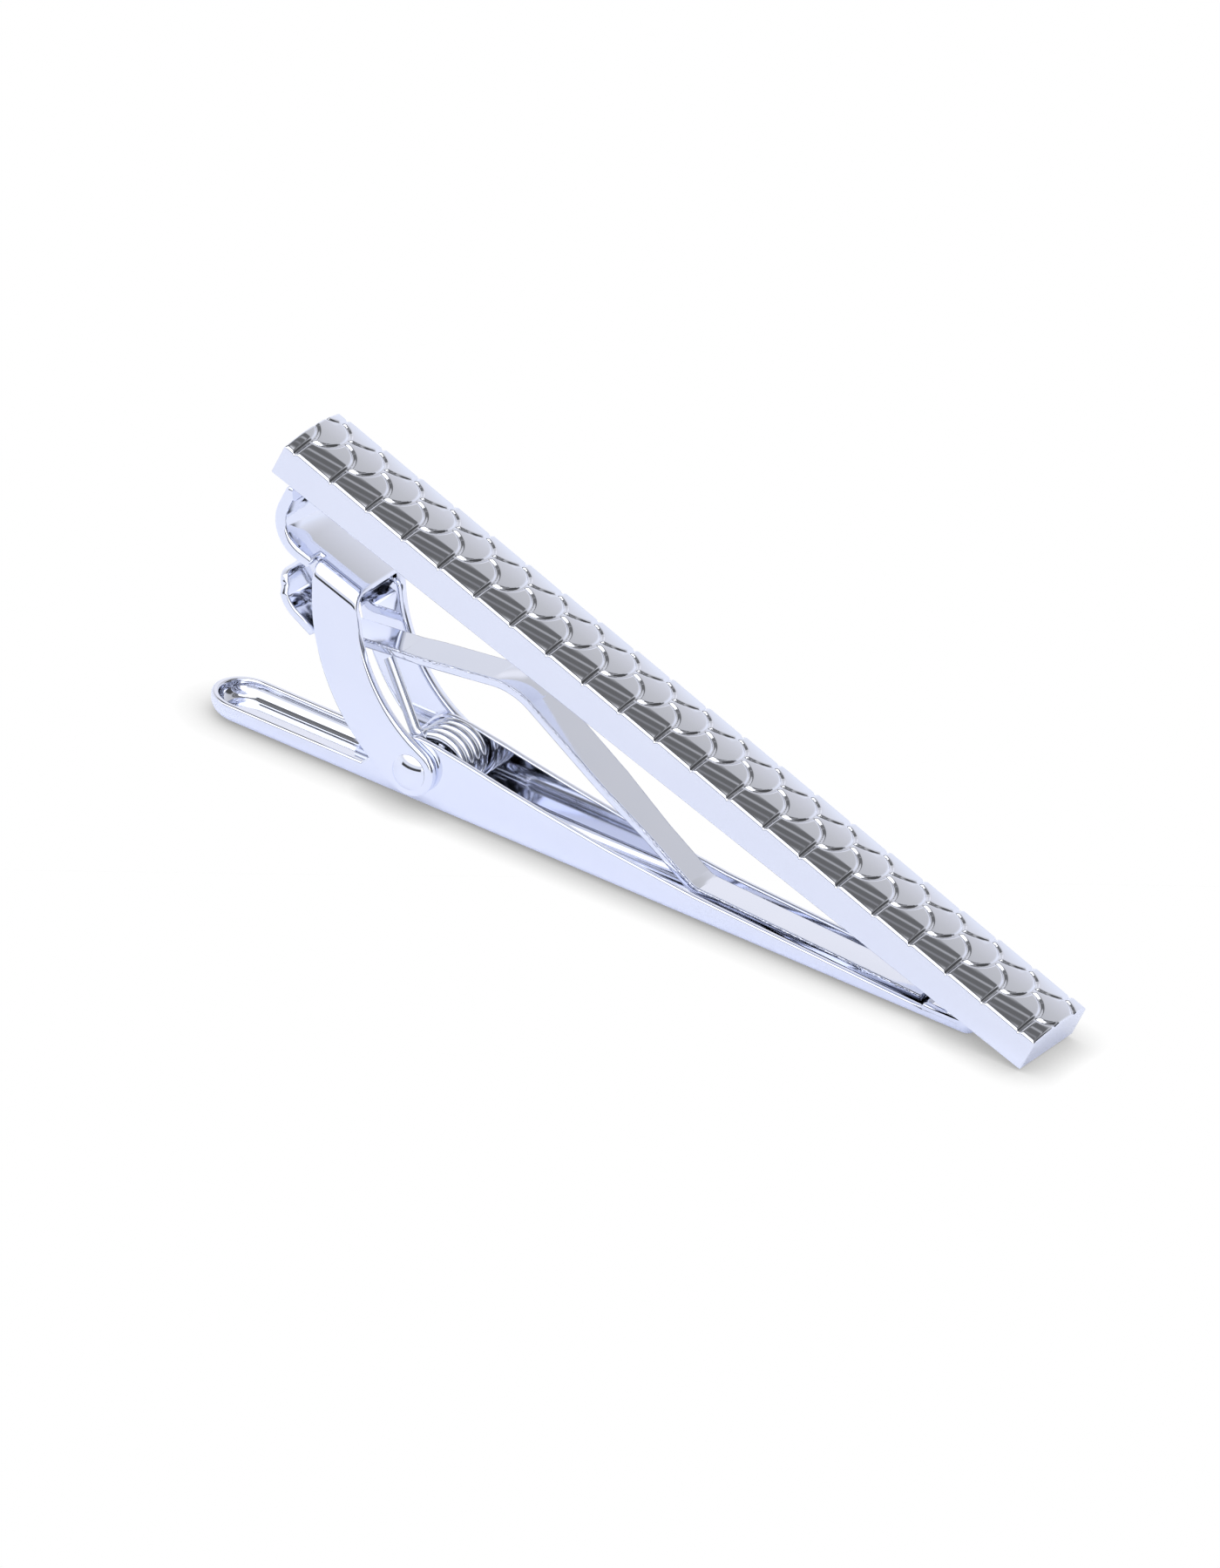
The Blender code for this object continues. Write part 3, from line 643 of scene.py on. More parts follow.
def make_front_bar(material):
    """The engraved face, then its eased rim, sides and back as one closed mesh."""
    outline = linked("scale outline", threads(scale_outline()))
    host = linked("engraved face", bmesh.new())
    face = host.modifiers.new("engraved face", "NODES")
    face.node_group = make_engraving_tree(material)
    for label, value in (
            ("Length", BAR_LENGTH - 2 * BAR_EDGE), ("Width", BAR_WIDTH - 2 * BAR_EDGE),
            ("Inset", BAR_EDGE), ("Bar Width", BAR_WIDTH), ("Side Height", BAR_SIDE),
            ("Crown", BAR_CROWN), ("First Scale", SCALE_FIRST), ("Scale Pitch", SCALE_PITCH),
            ("Groove Reach", GROOVE_REACH), ("Groove Depth", GROOVE_DEPTH),
            ("Scale Twist", SCALE_TWIST), ("Columns", FACE_COLUMNS), ("Rows", FACE_ROWS),
            ("Scale Count", SCALE_COUNT), ("Outline", outline)):
        set_input(face, label, value)
    engraved = settled(host, Matrix(), "engraved face", (outline,))
    bm = bmesh.new()
    bm.from_mesh(engraved.data)
    bpy.data.objects.remove(engraved, do_unlink=True)
    left, right = BAR_EDGE, BAR_LENGTH - BAR_EDGE
    half = BAR_WIDTH / 2 - BAR_EDGE
    tiny = BAR_EDGE / 20

    def outward(spot):
        x = (spot.x > right - tiny) - (spot.x < left + tiny)
        y = (spot.y > half - tiny) - (spot.y < tiny - half)
        return Vector((x, y, 0))

    # Eased rim, wall, eased foot
    turns = [math.pi / 2 * (i + 1) / EASE_SEGMENTS for i in range(EASE_SEGMENTS)]
    moves = [(math.sin(a) - math.sin(b), -(math.cos(b) - math.cos(a)))
             for a, b in zip(turns, [0] + turns)]
    edges = [edge for edge in bm.edges if edge.is_boundary]
    ways = {vert: outward(vert.co) for edge in edges for vert in edge.verts}
    for out, down in moves:
        edges, ways = extruded_rim(bm, edges, ways, out * BAR_EDGE, down * BAR_EDGE)
    edges, ways = extruded_rim(bm, edges, ways, 0, None)
    for out, down in reversed(moves):
        edges, ways = extruded_rim(bm, edges, ways, -out * BAR_EDGE, down * BAR_EDGE)
    bmesh.ops.contextual_create(bm, geom=edges)
    bmesh.ops.recalc_face_normals(bm, faces=bm.faces)
    return with_flat_flats(linked("front bar", bm), BAR_PLANE, "engraved_front_bar")


def extruded_rim(bm, edges, ways, out, down):
    """Extrudes a loop of edges outwards and down; with no drop given, down to the foot."""
    made = bmesh.ops.extrude_edge_only(bm, edges=edges)
    fresh = [item for item in made["geom"] if isinstance(item, bmesh.types.BMVert)]
    new_edges = [item for item in made["geom"] if isinstance(item, bmesh.types.BMEdge)
                 and item.is_boundary]
    new_ways = {}
    for vert in fresh:
        beside = [edge.other_vert(vert) for edge in vert.link_edges]
        way = new_ways[vert] = next(ways[other] for other in beside if other in ways)
        vert.co.x += way.x * out
        vert.co.y += way.y * out
        vert.co.z = BAR_EDGE if down is None else vert.co.z + down
    return new_edges, new_ways


# Bracket

def arm_arc():
    """The middle line of an arm, from the roof to the pin."""
    top = Vector((ROOF_MIDDLE, -ROOF_DROP))
    chord = PIN_SPOT - top
    half = chord.length / 2
    radius = (half * half + ARM_BULGE * ARM_BULGE) / (2 * ARM_BULGE)
    side = Vector((-chord.y, chord.x)).normalized()
    centre = (top + PIN_SPOT) / 2 + side * (radius - ARM_BULGE)
    first = math.atan2(top.y - centre.y, top.x - centre.x)
    last = math.atan2(PIN_SPOT.y - centre.y, PIN_SPOT.x - centre.x)
    return centre, radius, first, last


def arm_rows():
    """Lines across an arm in side view, from the roof's fold to the round end at the pin."""
    centre, radius, _, last = arm_arc()
    half = ARM_WIDTH / 2

    def spread(ends):
        return [ends[0].lerp(ends[1], i / ARM_COLUMNS) for i in range(ARM_COLUMNS + 1)]

    def level_ends(level):
        return [Vector((centre.x - math.sqrt(r * r - (level - centre.y) ** 2), level))
                for r in (radius + half, radius - half)]

    folds = []
    for k in range(FOLD_STEPS + 1):
        angle = math.pi / 2 * k / FOLD_STEPS
        folds.append((angle, spread(level_ends(-ROOF_DROP - ARM_FOLD * (1 - math.cos(angle))))))
    starts = [math.atan2(end.y - centre.y, end.x - centre.x)
              for end in (folds[-1][1][0], folds[-1][1][-1])]
    straights = []
    final = last - (PIN_RADIUS + PIN_LEAD) / radius
    for k in range(1, ARM_STEPS + 1):
        angles = [start + (final - start) * k / ARM_STEPS for start in starts]
        straights.append(spread([centre + r * Vector((math.cos(angle), math.sin(angle)))
                                 for r, angle in zip((radius + half, radius - half), angles)]))

    # Round the bore: its upper half ends the columns, its lower half carries the round end
    out = Vector((math.cos(last), math.sin(last)))
    onward = Vector((-out.y, out.x))

    def beside(angle, reach, way):
        return PIN_SPOT + out * reach * math.cos(angle) + onward * way * reach * math.sin(angle)

    bore = PIN_RADIUS + PIN_FIT
    upper = [beside(math.pi * i / (ARM_COLUMNS - 2), bore, -1) for i in range(ARM_COLUMNS - 1)]
    straights.append([beside(0, half, 1), *upper, beside(math.pi, half, 1)])
    end = [[beside(math.pi * k / ROUND_STEPS, reach, 1) for reach in (half, bore)]
           for k in range(ROUND_STEPS + 1)]
    end[0] = [straights[-1][0], upper[0]]
    end[-1] = [straights[-1][-1], upper[-1]]
    return folds, straights, end


class Sheet:
    """A bent sheet, given cell by cell as pairs of points on its outer and its inner face."""

    def __init__(self):
        self.pairs = []
        self.table = {}
        self.cells = []

    def add(self, corners):
        cell = []
        for outer, inner in corners:
            key = tuple(round(value, 8) for value in outer)
            if key not in self.table:
                self.table[key] = len(self.pairs)
                self.pairs.append((outer, inner))
            cell.append(self.table[key])
        self.cells.append(cell)

    def add_rows(self, rows):
        for row, after in zip(rows, rows[1:]):
            for i in range(len(row) - 1):
                self.add((row[i], row[i + 1], after[i + 1], after[i]))

    def solid(self, name, left_crisp):
        """Closes the rim between the faces and marks the edges to be eased."""
        bm = bmesh.new()
        weight = bm.edges.layers.float.new("bevel_weight_edge")
        shells = [[bm.verts.new(pair[side]) for pair in self.pairs] for side in (0, 1)]
        uses = {}
        for cell in self.cells:
            for shell in shells:
                bm.faces.new([shell[i] for i in cell])
            for edge in zip(cell, cell[1:] + cell[:1]):
                key = tuple(sorted(edge))
                uses[key] = uses.get(key, 0) + 1
        rim = [edge for edge, count in uses.items() if count == 1]
        for first, second in rim:
            bm.faces.new((shells[0][first], shells[0][second],
                          shells[1][second], shells[1][first]))
            if not left_crisp(self.pairs[first][0], self.pairs[second][0]):
                for shell in shells:
                    bm.edges.get((shell[first], shell[second]))[weight] = 1
        bmesh.ops.recalc_face_normals(bm, faces=bm.faces)
        return linked(name, bm)


def make_bracket():
    """One sheet: a soldered foot, a curl, a roof and two arms folded down from the roof."""
    roof_under = -ROOF_DROP - BRACKET_SHEET
    inner_fold = ARM_FOLD - ARM_THICK
    flat = HALF_BRACKET - ARM_FOLD
    folds, straights, end = arm_rows()
    curl_end = folds[0][1][0].x - ARM_NOTCH

    # Foot, curl and the first part of the roof: the face in the curl, then the face round it
    foot_end = BRACKET_INSET + FOOT_LENGTH
    faces = []
    for deep, bends in ((BRACKET_SHEET, (FOOT_FOLD, CURL_RADIUS - BRACKET_SHEET)),
                        (0, (FOOT_CORNER, CURL_RADIUS))):
        back = BRACKET_INSET + deep
        corners = [Vector((foot_end, -SOLDER_GAP - deep)), Vector((back, -SOLDER_GAP - deep)),
                   Vector((back, roof_under + deep)), Vector((curl_end, roof_under + deep))]
        faces.append(rounded_path(corners, bends, math.radians(CURL_STEP_ANGLE)))
    line = list(zip(*faces))

    def band(pairs, sides):
        return [[tuple((spot.x, side, spot.y) for spot in pair) for side in sides]
                for pair in pairs]

    sheet = Sheet()
    tab = (-flat, flat)
    sheet.add_rows(band(line[:2], tab))
    sheet.add_rows(band(line[1:], (-HALF_BRACKET, -flat, flat, HALF_BRACKET)))
    sheet.add_rows(band([line[-1]] + [(spot, Vector((spot.x, roof_under)))
                                      for spot in folds[0][1]], tab))

    # The arms, with their folds
    for sign in (1, -1):
        rows = []
        for angle, spots in folds:
            y_out = flat + ARM_FOLD * math.sin(angle)
            y_in = flat + inner_fold * math.sin(angle)
            z_in = roof_under - inner_fold * (1 - math.cos(angle))
            rows.append([((spot.x, sign * y_out, spot.y), (spot.x, sign * y_in, z_in))
                         for spot in spots])
        walls = [[((spot.x, sign * HALF_BRACKET, spot.y), (spot.x, sign * ARM_INNER, spot.y))
                  for spot in spots] for spots in straights + end]
        sheet.add_rows(rows + walls[:len(straights)])
        sheet.add_rows(walls[len(straights):])

    root = line[1][0].x
    bore = PIN_RADIUS + 2 * PIN_FIT

    def left_crisp(first, second):
        """The tab's root and the bores."""
        at_root = max(abs(first[0] - root), abs(second[0] - root)) < SLIVER
        reach = max(math.hypot(spot[0] - PIN_ALONG_BAR, spot[2] + PIN_DROP)
                    for spot in (first, second))
        return at_root or reach < bore

    bracket = sheet.solid("bracket", left_crisp)
    add_bevel(bracket, BRACKET_EASE, "WEIGHT")
    return polished(settled(bracket, Matrix(), bracket.name), BAR_PLANE, "folded_bracket")


# Jaw

def jaw_ring(inset, height):
    """The plan of the jaw: a round thumb end and a tip with round corners."""
    half = HALF_JAW - inset
    tail = turned(Vector((HALF_JAW - JAW_TAIL, 0)), half,
                  math.pi / 2, 3 * math.pi / 2, JAW_THUMB_STEPS)
    corner = max(JAW_TIP_CORNER - inset, JAW_LEAST_CORNER)
    middle = Vector((JAW_REACH - inset - corner, half - corner))
    near = turned(Vector((middle.x, -middle.y)), corner, -math.pi / 2, 0, JAW_CORNER_STEPS)
    far = turned(middle, corner, 0, math.pi / 2, JAW_CORNER_STEPS)
    return [(x, y, height) for x, y in tail + near + far]


def jaw_side_view():
    """The side view of the jaw: low thumb walls, an ear at the pin, falling walls, teeth."""
    foot = JAW_THUMB_WALL - JAW_PIN_HEIGHT
    below = -JAW_PIN_HEIGHT - OVERRUN
    far_left = -JAW_TAIL - OVERRUN
    tip = JAW_REACH + OVERRUN
    fall = EAR_TOP - JAW_TIP_RIM
    outline = [(far_left, below), (far_left, foot), (-JAW_EAR_RADIUS - JAW_EAR_LEAD, foot)]
    outline += turned(Vector((0, 0)), EAR_TOP - JAW_PIN_HEIGHT,
                      math.pi - math.asin(JAW_EAR_START_SHARE), math.pi / 2, JAW_EAR_STEPS)
    outline += [(JAW_REACH * reach_share, JAW_TIP_RIM + fall * fall_share - JAW_PIN_HEIGHT)
                for reach_share, fall_share in RIM_SHARES]
    first = JAW_REACH - TOOTH_LAND - TOOTH_COUNT * TOOTH_PITCH
    step = (JAW_TIP_HEIGHT - JAW_TIP_RIM) / TOOTH_COUNT
    for i in range(TOOTH_COUNT):
        start = first + i * TOOTH_PITCH
        low = JAW_TIP_RIM + i * step - JAW_PIN_HEIGHT
        outline += [(start, low), (start + TOOTH_BACK, low + step + TOOTH_RELIEF)]
    land = JAW_TIP_HEIGHT - JAW_PIN_HEIGHT
    return outline + [(JAW_REACH, land), (tip, land), (tip, below)]


def jaw_bowl(sheet, bend, steps, top):
    """A solid of the jaw's plan, a sheet's thickness in, from its rounded bottom up."""
    rings = []
    for i in range(steps + 1):
        angle = math.pi / 2 * i / steps
        rings.append(jaw_ring(sheet + bend * (1 - math.sin(angle)),
                              sheet - JAW_PIN_HEIGHT + bend * (1 - math.cos(angle))))
    return loft(rings + [jaw_ring(sheet, top)])


def make_jaw():
    """The lever: a pressed channel with a closed thumb end, ears, and teeth at its tip."""
    top = EAR_TOP - JAW_PIN_HEIGHT
    jaw = linked("jaw", jaw_bowl(0, JAW_BEND, JAW_BEND_STEPS, top + OVERRUN))
    hollow = jaw_bowl(JAW_SHEET, JAW_INNER_BEND, JAW_BEND_STEPS - 1, top + 2 * OVERRUN)
    bore = turned(Vector((0, 0)), PIN_RADIUS + PIN_RUNNING_FIT, 0, 2 * math.pi, BORE_SIDES)[:-1]
    tools = [combine(jaw, hollow, "DIFFERENCE"),
             combine(jaw, across(jaw_side_view()), "INTERSECT"),
             combine(jaw, across(bore), "DIFFERENCE")]
    return polished(eased(jaw, JAW_EASE, tools), JAW_PLANE, "pressed_jaw")


# Strip

def hook_seat():
    """Where the strip's hook bears on the back edge of the arms."""
    centre, radius, first, last = arm_arc()
    angle = first + (last - first) * STRIP_HOOK_SHARE
    out = Vector((math.cos(angle), math.sin(angle)))
    return centre + out * (radius + ARM_WIDTH / 2 + STRIP_HOOK_PLAY)


def strip_route(step):
    """The middle line of the strip, from its hook to its end in the jaw."""
    half_sheet = STRIP_SHEET / 2
    seat = hook_seat()
    dip = STRIP_VERTEX_LEAD * STRIP_HOOK_RISE / STRIP_HOOK_LENGTH
    vertex = seat + Vector((STRIP_VERTEX_LEAD, -half_sheet - dip))
    hook = seat + Vector((-STRIP_HOOK_LENGTH, STRIP_HOOK_RISE - half_sheet))
    lip = hook + Vector((-STRIP_LIP_LENGTH, STRIP_LIP_RISE))
    kink = Vector((STRIP_KINK_ALONG, -STRIP_KINK_DROP - half_sheet))
    hump = Vector((STRIP_HUMP_ALONG, -STRIP_HUMP_DROP - half_sheet))
    valley = jaw_to_bar(STRIP_VALLEY_REACH, STRIP_VALLEY_HEIGHT - half_sheet)
    end = jaw_to_bar(STRIP_END_REACH, JAW_SHEET + STRIP_FLOOR_PLAY + half_sheet)
    corners = [lip, hook, vertex, kink, hump, valley, end]
    return rounded_path(corners, STRIP_BENDS, math.radians(step))


def strip_widths(route):
    """Half widths along the strip: a wide hook, a neck between the arms, a body, a tail."""
    shoulder = hook_seat().x
    valley = jaw_to_bar(STRIP_VALLEY_REACH, STRIP_VALLEY_HEIGHT)
    taper = valley.x - STRIP_HUMP_ALONG
    tip = route[0].x
    table = []
    for i in range(STRIP_LIP_STEPS):
        angle = math.pi / 2 * i / (STRIP_LIP_STEPS - 1)
        table.append((tip + STRIP_LIP_CORNER * (1 - math.cos(angle)) / math.sqrt(2),
                      STRIP_LIP_WIDTH - 2 * STRIP_LIP_CORNER * (1 - math.sin(angle))))
    table += [(tip + STRIP_LIP_LENGTH * STRIP_LIP_SHARE, STRIP_HOOK_WIDTH),
              (shoulder, STRIP_HOOK_WIDTH), (shoulder + STRIP_EDGE, STRIP_NECK),
              (STRIP_KINK_ALONG, STRIP_NECK), (STRIP_KINK_ALONG + STRIP_BENDS[1], STRIP_WIDTH),
              (valley.x - taper / 2, STRIP_WIDTH), (valley.x - taper / 4, STRIP_TAIL),
              (BAR_LENGTH, STRIP_TAIL)]
    points = [route[0]]
    for before, after in zip(route, route[1:]):
        points += [before.lerp(after, (x - before.x) / (after.x - before.x))
                   for x, _ in table if before.x < x < after.x] + [after]
    halves = []
    for point in points:
        for (low, wide), (high, next_wide) in zip(table, table[1:]):
            if low <= point.x <= high:
                share = (point.x - low) / (high - low)
                halves.append((wide + (next_wide - wide) * share) / 2)
                break
    return points, halves


def make_strip():
    """The humped strip: a flat band with rolled edges, swept along its route."""
    points, halves = strip_widths(strip_route(STRIP_STEP_ANGLE))
    half_sheet = STRIP_SHEET / 2
    turns = [math.pi / 2 * i / STRIP_EDGE_STEPS for i in range(STRIP_EDGE_STEPS + 1)]
    quarter = [(math.sin(turn), math.cos(turn)) for turn in turns]
    rings = []
    sheared = []
    shoulder = hook_seat().x
    for point, side, half in zip(points, normals_of(points), halves):
        ring = []
        for y_sign, z_sign, order in ((1, 1, 1), (1, -1, -1), (-1, -1, 1), (-1, 1, -1)):
            for out, up in quarter[::order]:
                sheared.append(2 * out * up if z_sign > 0 and point.x > shoulder else 0)
                y = y_sign * (half - STRIP_EDGE + STRIP_EDGE * out)
                level = z_sign * (half_sheet - STRIP_EDGE + STRIP_EDGE * up)
                place = point + side * level
                ring.append((place.x, y, place.y))
        rings.append(ring)
    item = linked("strip", loft(rings))
    edge = item.data.attributes.new("sheared_edge", "FLOAT", "POINT")
    edge.data.foreach_set("value", sheared)
    return with_flat_flats(item, BAR_PLANE, "humped_strip")


# Pin

def make_pin():
    """The headed pin: one turned piece with a domed head on each arm."""
    face = HALF_BRACKET + PIN_FIT
    ball = (PIN_HEAD_RADIUS ** 2 + PIN_HEAD_DOME ** 2) / (2 * PIN_HEAD_DOME)
    rim = math.asin(PIN_HEAD_RADIUS / ball)
    half = [(0, face + PIN_HEAD_DOME)]
    for i in range(1, PIN_DOME_STEPS + 1):
        angle = rim * i / PIN_DOME_STEPS
        half.append((ball * math.sin(angle), face + PIN_HEAD_DOME - ball * (1 - math.cos(angle))))
    half.append((PIN_RADIUS, face))
    profile = half + [(radius, -y) for radius, y in reversed(half)]
    bm = threads([[(radius, y, 0) for radius, y in profile]])
    bmesh.ops.spin(bm, geom=bm.verts[:] + bm.edges[:], cent=(0, 0, 0), axis=(0, 1, 0),
                   angle=2 * math.pi, steps=PIN_SIDES, use_merge=True)
    bmesh.ops.remove_doubles(bm, verts=bm.verts, dist=PIN_FIT / 10)
    bmesh.ops.recalc_face_normals(bm, faces=bm.faces)
    item = linked("pin", bm)
    item.data.set_sharp_from_angle(angle=math.radians(PIN_CREASE_ANGLE))
    return settled(item, JAW_PLANE, "headed_pin")


# Spring

def spring_points():
    """The wire's middle line as upper leg, coil and lower leg, from the pin."""
    wire_half = WIRE / 2
    radius = COIL_RADIUS - wire_half
    centre = Vector((COIL_ALONG, COIL_RISE))
    route = strip_route(SPRING_ROUTE_STEP)
    under = [point for point in route if point.x <= SPRING_UPPER_REACH][-1]
    above = [point for point in route if point.x > SPRING_UPPER_REACH][0]
    share = (SPRING_UPPER_REACH - under.x) / (above.x - under.x)
    run = (above - under).normalized()
    drop = STRIP_SHEET / 2 + wire_half + SPRING_UPPER_PLAY
    rest = under.lerp(above, share) + Vector((run.y, -run.x)) * drop
    offset = rest - PIN_SPOT
    leg_end = Vector((offset.x * COS_PITCH + offset.y * SIN_PITCH,
                      offset.y * COS_PITCH - offset.x * SIN_PITCH))
    start = math.radians(SPRING_BEND_ANGLE)
    sweep = start + math.pi / 2 + 2 * math.pi * COIL_FULL_TURNS
    count = COIL_STEPS_PER_TURN * (COIL_FULL_TURNS + 1)
    half_span = JAW_INNER - COIL_WALL_PLAY - wire_half
    bend_at = centre + radius * Vector((math.cos(start), math.sin(start)))
    onward = bend_at + SPRING_BEND * Vector((math.sin(start), -math.cos(start)))
    leg = rounded_path([leg_end, bend_at, onward], [SPRING_BEND], math.radians(SPRING_BEND_STEP))
    tip = Vector((leg_end.x, WIRE - STRIP_NECK / 2, leg_end.y))
    bend = [Vector((spot.x, -half_span, spot.y)) for spot in leg[1:-1]]
    upper = [tip.lerp(bend[0], i / LEG_STEPS) for i in range(LEG_STEPS)] + bend
    coil = [bend[-1]]
    for i in range(1, count + 1):
        angle = start - sweep * i / count
        spot = centre + radius * Vector((math.cos(angle), math.sin(angle)))
        coil.append(Vector((spot.x, half_span * (2 * i / count - 1), spot.y)))
    foot = Vector((-SPRING_LOWER_LEG, half_span, centre.y - radius))
    lower = [coil[-1].lerp(foot, i / LEG_STEPS) for i in range(LEG_STEPS + 1)]
    return upper, coil, lower


def make_wire_tree(material):
    """A drawn wire along a line of points."""
    tree, given, out = new_tree(
        "drawn wire", "GeometryNodeTree",
        (("NodeSocketGeometry", "Line"), ("NodeSocketFloat", "Wire Radius"),
         ("NodeSocketInt", "Sides")),
        (("NodeSocketGeometry", "Geometry"),))
    route = add(tree, "GeometryNodeMeshToCurve", {"Mesh": given["Line"]})
    section = add(tree, "GeometryNodeCurvePrimitiveCircle", {
        "Resolution": given["Sides"], "Radius": given["Wire Radius"]})
    tube = add(tree, "GeometryNodeCurveToMesh", {
        "Curve": route.outputs["Curve"], "Profile Curve": section.outputs["Curve"],
        "Fill Caps": True})
    smooth = add(tree, "GeometryNodeSetShadeSmooth", {"Geometry": tube.outputs["Mesh"]})
    end_tree(tree, smooth.outputs["Geometry"], material, out)
    return tree


def make_wire(line, tree, name):
    """One stretch of the wire."""
    item = linked(name + " line", threads([line]))
    drawn = item.modifiers.new("drawn wire", "NODES")
    drawn.node_group = tree
    set_input(drawn, "Wire Radius", WIRE / 2)
    set_input(drawn, "Sides", WIRE_SIDES)
    return settled(item, JAW_PLANE, name)


def join_up_spring(material):
    """The coil stays on the pin with the bar's body; the two legs are drawn where they lie at rest
    and are not attached to any body.
    """
    upper, coil, lower = spring_points()
    tree = make_wire_tree(material)
    join_up(make_wire(coil, tree, "wound_coil"), "bar_body", "torsion_spring", material)
    for line, name, body, start, end in (
            (upper, "upper_leg", "strip_body", upper[-1], upper[1]),
            (lower, "lower_leg", "jaw_body", lower[0], lower[LEG_TURN])):
        leg = coated(make_wire(line, tree, name), material)
        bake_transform(leg)
        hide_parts("torsion_spring")


# Studio

def make_panel_group():
    """A soft-edged patch of the studio's walls, by its direction from the object."""
    tree, given, out = new_tree(
        "studio panel", "ShaderNodeTree",
        (("NodeSocketFloat", "Azimuth", "Elevation", "Middle", "Half Width", "Low", "High",
          "Softness"),), (("NodeSocketFloat", "Mask"),))
    turn = math_node(tree, "SUBTRACT", given["Azimuth"], given["Middle"])
    turn = math_node(tree, "FLOORED_MODULO", math_node(tree, "ADD", turn, 540), 360)
    away = math_node(tree, "ABSOLUTE", math_node(tree, "SUBTRACT", turn, 180))

    def ramp(value, edge, rising):
        node = add(tree, "ShaderNodeMapRange", {
            "Value": value, "From Min": math_node(tree, "SUBTRACT", edge, given["Softness"]),
            "From Max": math_node(tree, "ADD", edge, given["Softness"]),
            "To Min": int(not rising), "To Max": int(rising)})
        node.interpolation_type = "SMOOTHSTEP"
        return node.outputs["Result"]

    level = math_node(tree, "MULTIPLY", ramp(given["Elevation"], given["Low"], True),
                      ramp(given["Elevation"], given["High"], False))
    mask = math_node(tree, "MULTIPLY", ramp(away, given["Half Width"], False), level)
    feed(tree, mask, out["Mask"])
    return tree


# Elevation as a share of 90 degrees, and the room's colour there
ROOM_STOPS = ((0.0, (0.93, 0.95, 1.03)), (0.12, (0.90, 0.93, 1.02)), (0.22, (0.80, 0.81, 0.86)),
              (0.33, (0.71, 0.71, 0.74)), (0.43, (0.63, 0.63, 0.64)), (0.58, (0.56, 0.56, 0.57)))

# Name, middle azimuth from +Y, half width, low, high, softness, brightness colour
STUDIO_PANELS = (
    ("overhead light", 0, 181, 68, 95, 3, (1.75, 1.75, 1.75)),
    ("front low light", 180, 80, 22, 46, 4, (1.50, 1.50, 1.56)),
    ("front light", 180, 80, 42, 95, 4, (1.75, 1.75, 1.75)),
    ("front right light", 130, 12, 6, 60, 4, (1.75, 1.75, 1.75)),
    ("back left light", -26, 10, 24, 35, 4, (0.94, 0.94, 0.98)),
    ("front dark", 186, 42, -3, 10, 3, (0.05, 0.05, 0.05)),
    ("right dark", 80, 36, 1, 48, 6, (0.08, 0.08, 0.08)),
    ("back dark", 0, 100, 52.5, 68, 2, (0.15, 0.15, 0.15)),
    ("back left dark", -68, 44, 41, 70, 3, (0.16, 0.16, 0.16)),
    ("back stripe", 0, 100, 57.6, 59, 0.6, (0.46, 0.46, 0.47)),
    ("faint stripe", 0, 100, 62.6, 63.8, 0.5, (0.27, 0.27, 0.28)),
)


def make_world():
    """A pale room: it fades from a bright low wall to a grey upper wall, with a few panels."""
    world = bpy.data.worlds.new("studio")
    bpy.context.scene.world = world
    world.use_nodes = True
    tree = world.node_tree
    way = add(tree, "ShaderNodeSeparateXYZ", {
        "Vector": add(tree, "ShaderNodeTexCoord").outputs["Generated"]}).outputs
    to_degrees = 180 / math.pi
    azimuth = math_node(tree, "MULTIPLY", math_node(tree, "ARCTAN2", way["X"], way["Y"]),
                        to_degrees)
    elevation = math_node(tree, "MULTIPLY", math_node(tree, "ARCSINE", way["Z"]), to_degrees)
    room = add(tree, "ShaderNodeValToRGB", {
        "Fac": math_node(tree, "DIVIDE", elevation, 90, clamp=True)})
    stops = room.color_ramp.elements
    while len(stops) < len(ROOM_STOPS):
        stops.new(0.5)
    for stop, (share, colour) in zip(stops, ROOM_STOPS):
        stop.position = share
        stop.color = (*colour, 1)
    shade = room.outputs["Color"]
    group = make_panel_group()
    for label, middle, half, low, high, soft, colour in STUDIO_PANELS:
        panel = tree.nodes.new("ShaderNodeGroup")
        panel.node_tree = group
        panel.label = label
        for socket, value in (("Azimuth", azimuth), ("Elevation", elevation),
                              ("Middle", middle), ("Half Width", half), ("Low", low),
                              ("High", high), ("Softness", soft)):
            feed(tree, value, panel.inputs[socket])
        shade = mixed(tree, panel.outputs["Mask"], shade, (*colour, 1))

    # The camera sees plain white
    camera_ray = add(tree, "ShaderNodeLightPath").outputs["Is Camera Ray"]
    feed(tree, mixed(tree, camera_ray, shade, (1, 1, 1, 1)),
         tree.nodes["Background"].inputs["Color"])


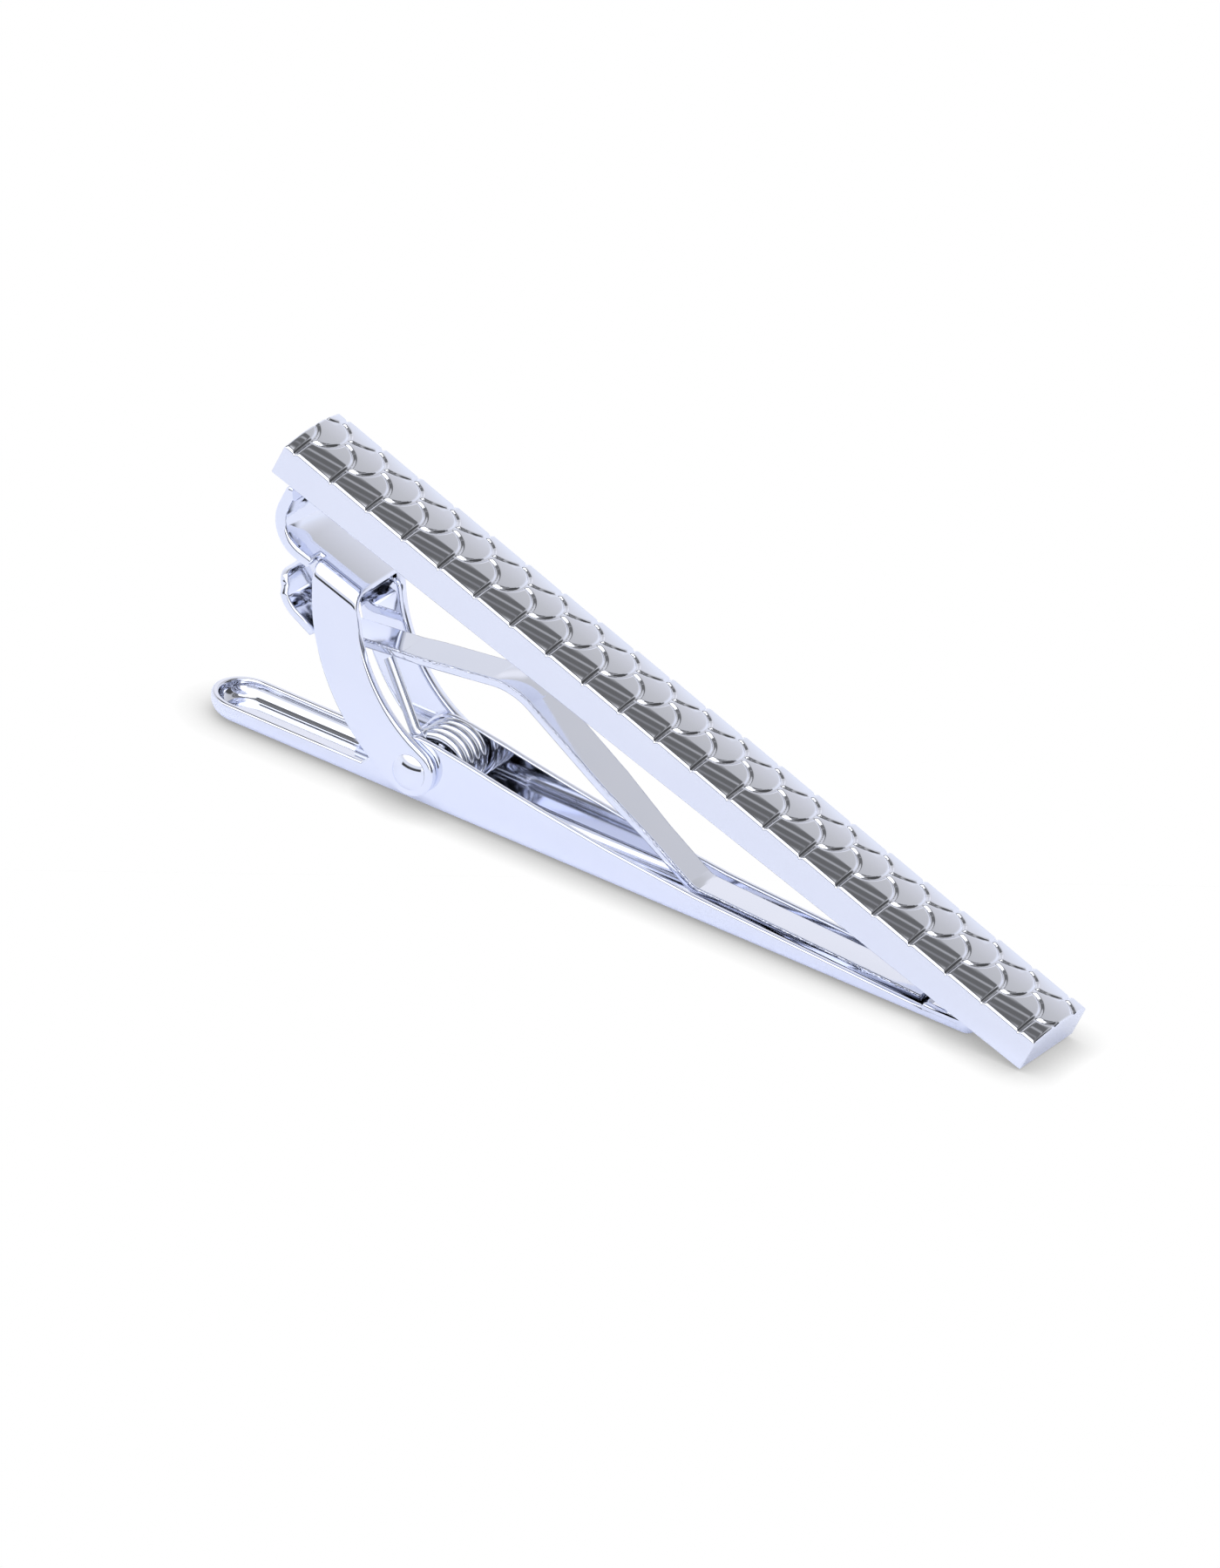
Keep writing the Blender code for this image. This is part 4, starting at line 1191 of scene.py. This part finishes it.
def make_floor():
    """A plain white table top. The camera sees its soft shadow over the white backdrop."""
    bm = bmesh.new()
    bmesh.ops.create_grid(bm, x_segments=1, y_segments=1, size=TABLE_HALF)
    floor = linked("table top", bm)
    material = bpy.data.materials.new("white table top")
    material.use_nodes = True
    tree = material.node_tree
    tree.nodes.remove(tree.nodes["Principled BSDF"])
    diffuse = add(tree, "ShaderNodeBsdfDiffuse", {"Color": TABLE_COLOUR})
    glow = add(tree, "ShaderNodeEmission", {"Color": TABLE_GLOW_COLOUR, "Strength": TABLE_GLOW})
    lit = tree.nodes.new("ShaderNodeAddShader")
    near = add(tree, "ShaderNodeAmbientOcclusion", {"Distance": SHADOW_REACH})
    near.samples = 8
    clear = add(tree, "ShaderNodeBsdfTransparent", {
        "Color": mixed(tree, near.outputs["AO"], SHADOW_COLOUR, (1, 1, 1, 1))})
    choose = add(tree, "ShaderNodeMixShader", {
        "Fac": add(tree, "ShaderNodeLightPath").outputs["Is Camera Ray"]})
    for source, target in (
            (diffuse.outputs["BSDF"], lit.inputs[0]), (glow.outputs["Emission"], lit.inputs[1]),
            (lit.outputs["Shader"], choose.inputs[1]), (clear.outputs["BSDF"], choose.inputs[2]),
            (choose.outputs["Shader"], tree.nodes["Material Output"].inputs["Surface"])):
        feed(tree, source, target)
    floor.data.materials.append(material)


def make_camera():
    """A long lens, from the front and above, with the bar running down to the right."""
    data = bpy.data.cameras.new("camera")
    data.sensor_width = 36
    data.lens = 600
    data.clip_start = 0.2
    data.clip_end = 20
    camera = placed("camera", data)
    camera.location = (0.643549, -1.250501, 0.754884)
    camera.rotation_euler = [math.radians(v) for v in (61.65367, -8.2314, 31.73978)]
    bpy.context.scene.camera = camera


def main():
    bpy.context.scene.view_settings.view_transform = "Standard"
    make_camera()
    make_world()
    make_floor()
    polish = make_polish_group()
    pale_shade = (0.84, 0.86, 0.94)
    bright = plated("engraved bright plate", polish, (0.80, 0.82, 0.90), (0.83, 0.85, 0.92), 0.03)
    folded = plated("bracket plate", polish, (0.80, 0.83, 0.93), pale_shade, 0.04,
                    dish=BRACKET_BOW)
    pressed = plated("pressed jaw plate", polish, (0.80, 0.83, 0.93), pale_shade, 0.06)
    sheared = with_sheared_edge(
        plated("spring strip plate", polish, (0.80, 0.83, 0.92), pale_shade, 0.07))
    turned_plate = plated("turned pin plate", polish, (0.82, 0.85, 0.94), pale_shade, 0.05)
    wire_steel = plated("plated spring wire", polish, (0.78, 0.80, 0.86), (0.70, 0.72, 0.78), 0.13)

    join_up(make_front_bar(bright), "bar_body", "front_bar", bright)
    join_up(make_bracket(), "bar_body", "bracket", folded)
    join_up(make_jaw(), "jaw_body", "lower_jaw", pressed)
    join_up(make_strip(), "strip_body", "inner_strip", sheared)
    join_up(make_pin(), "bar_body", "pivot_pin", turned_plate)
    join_up_spring(wire_steel)


main()
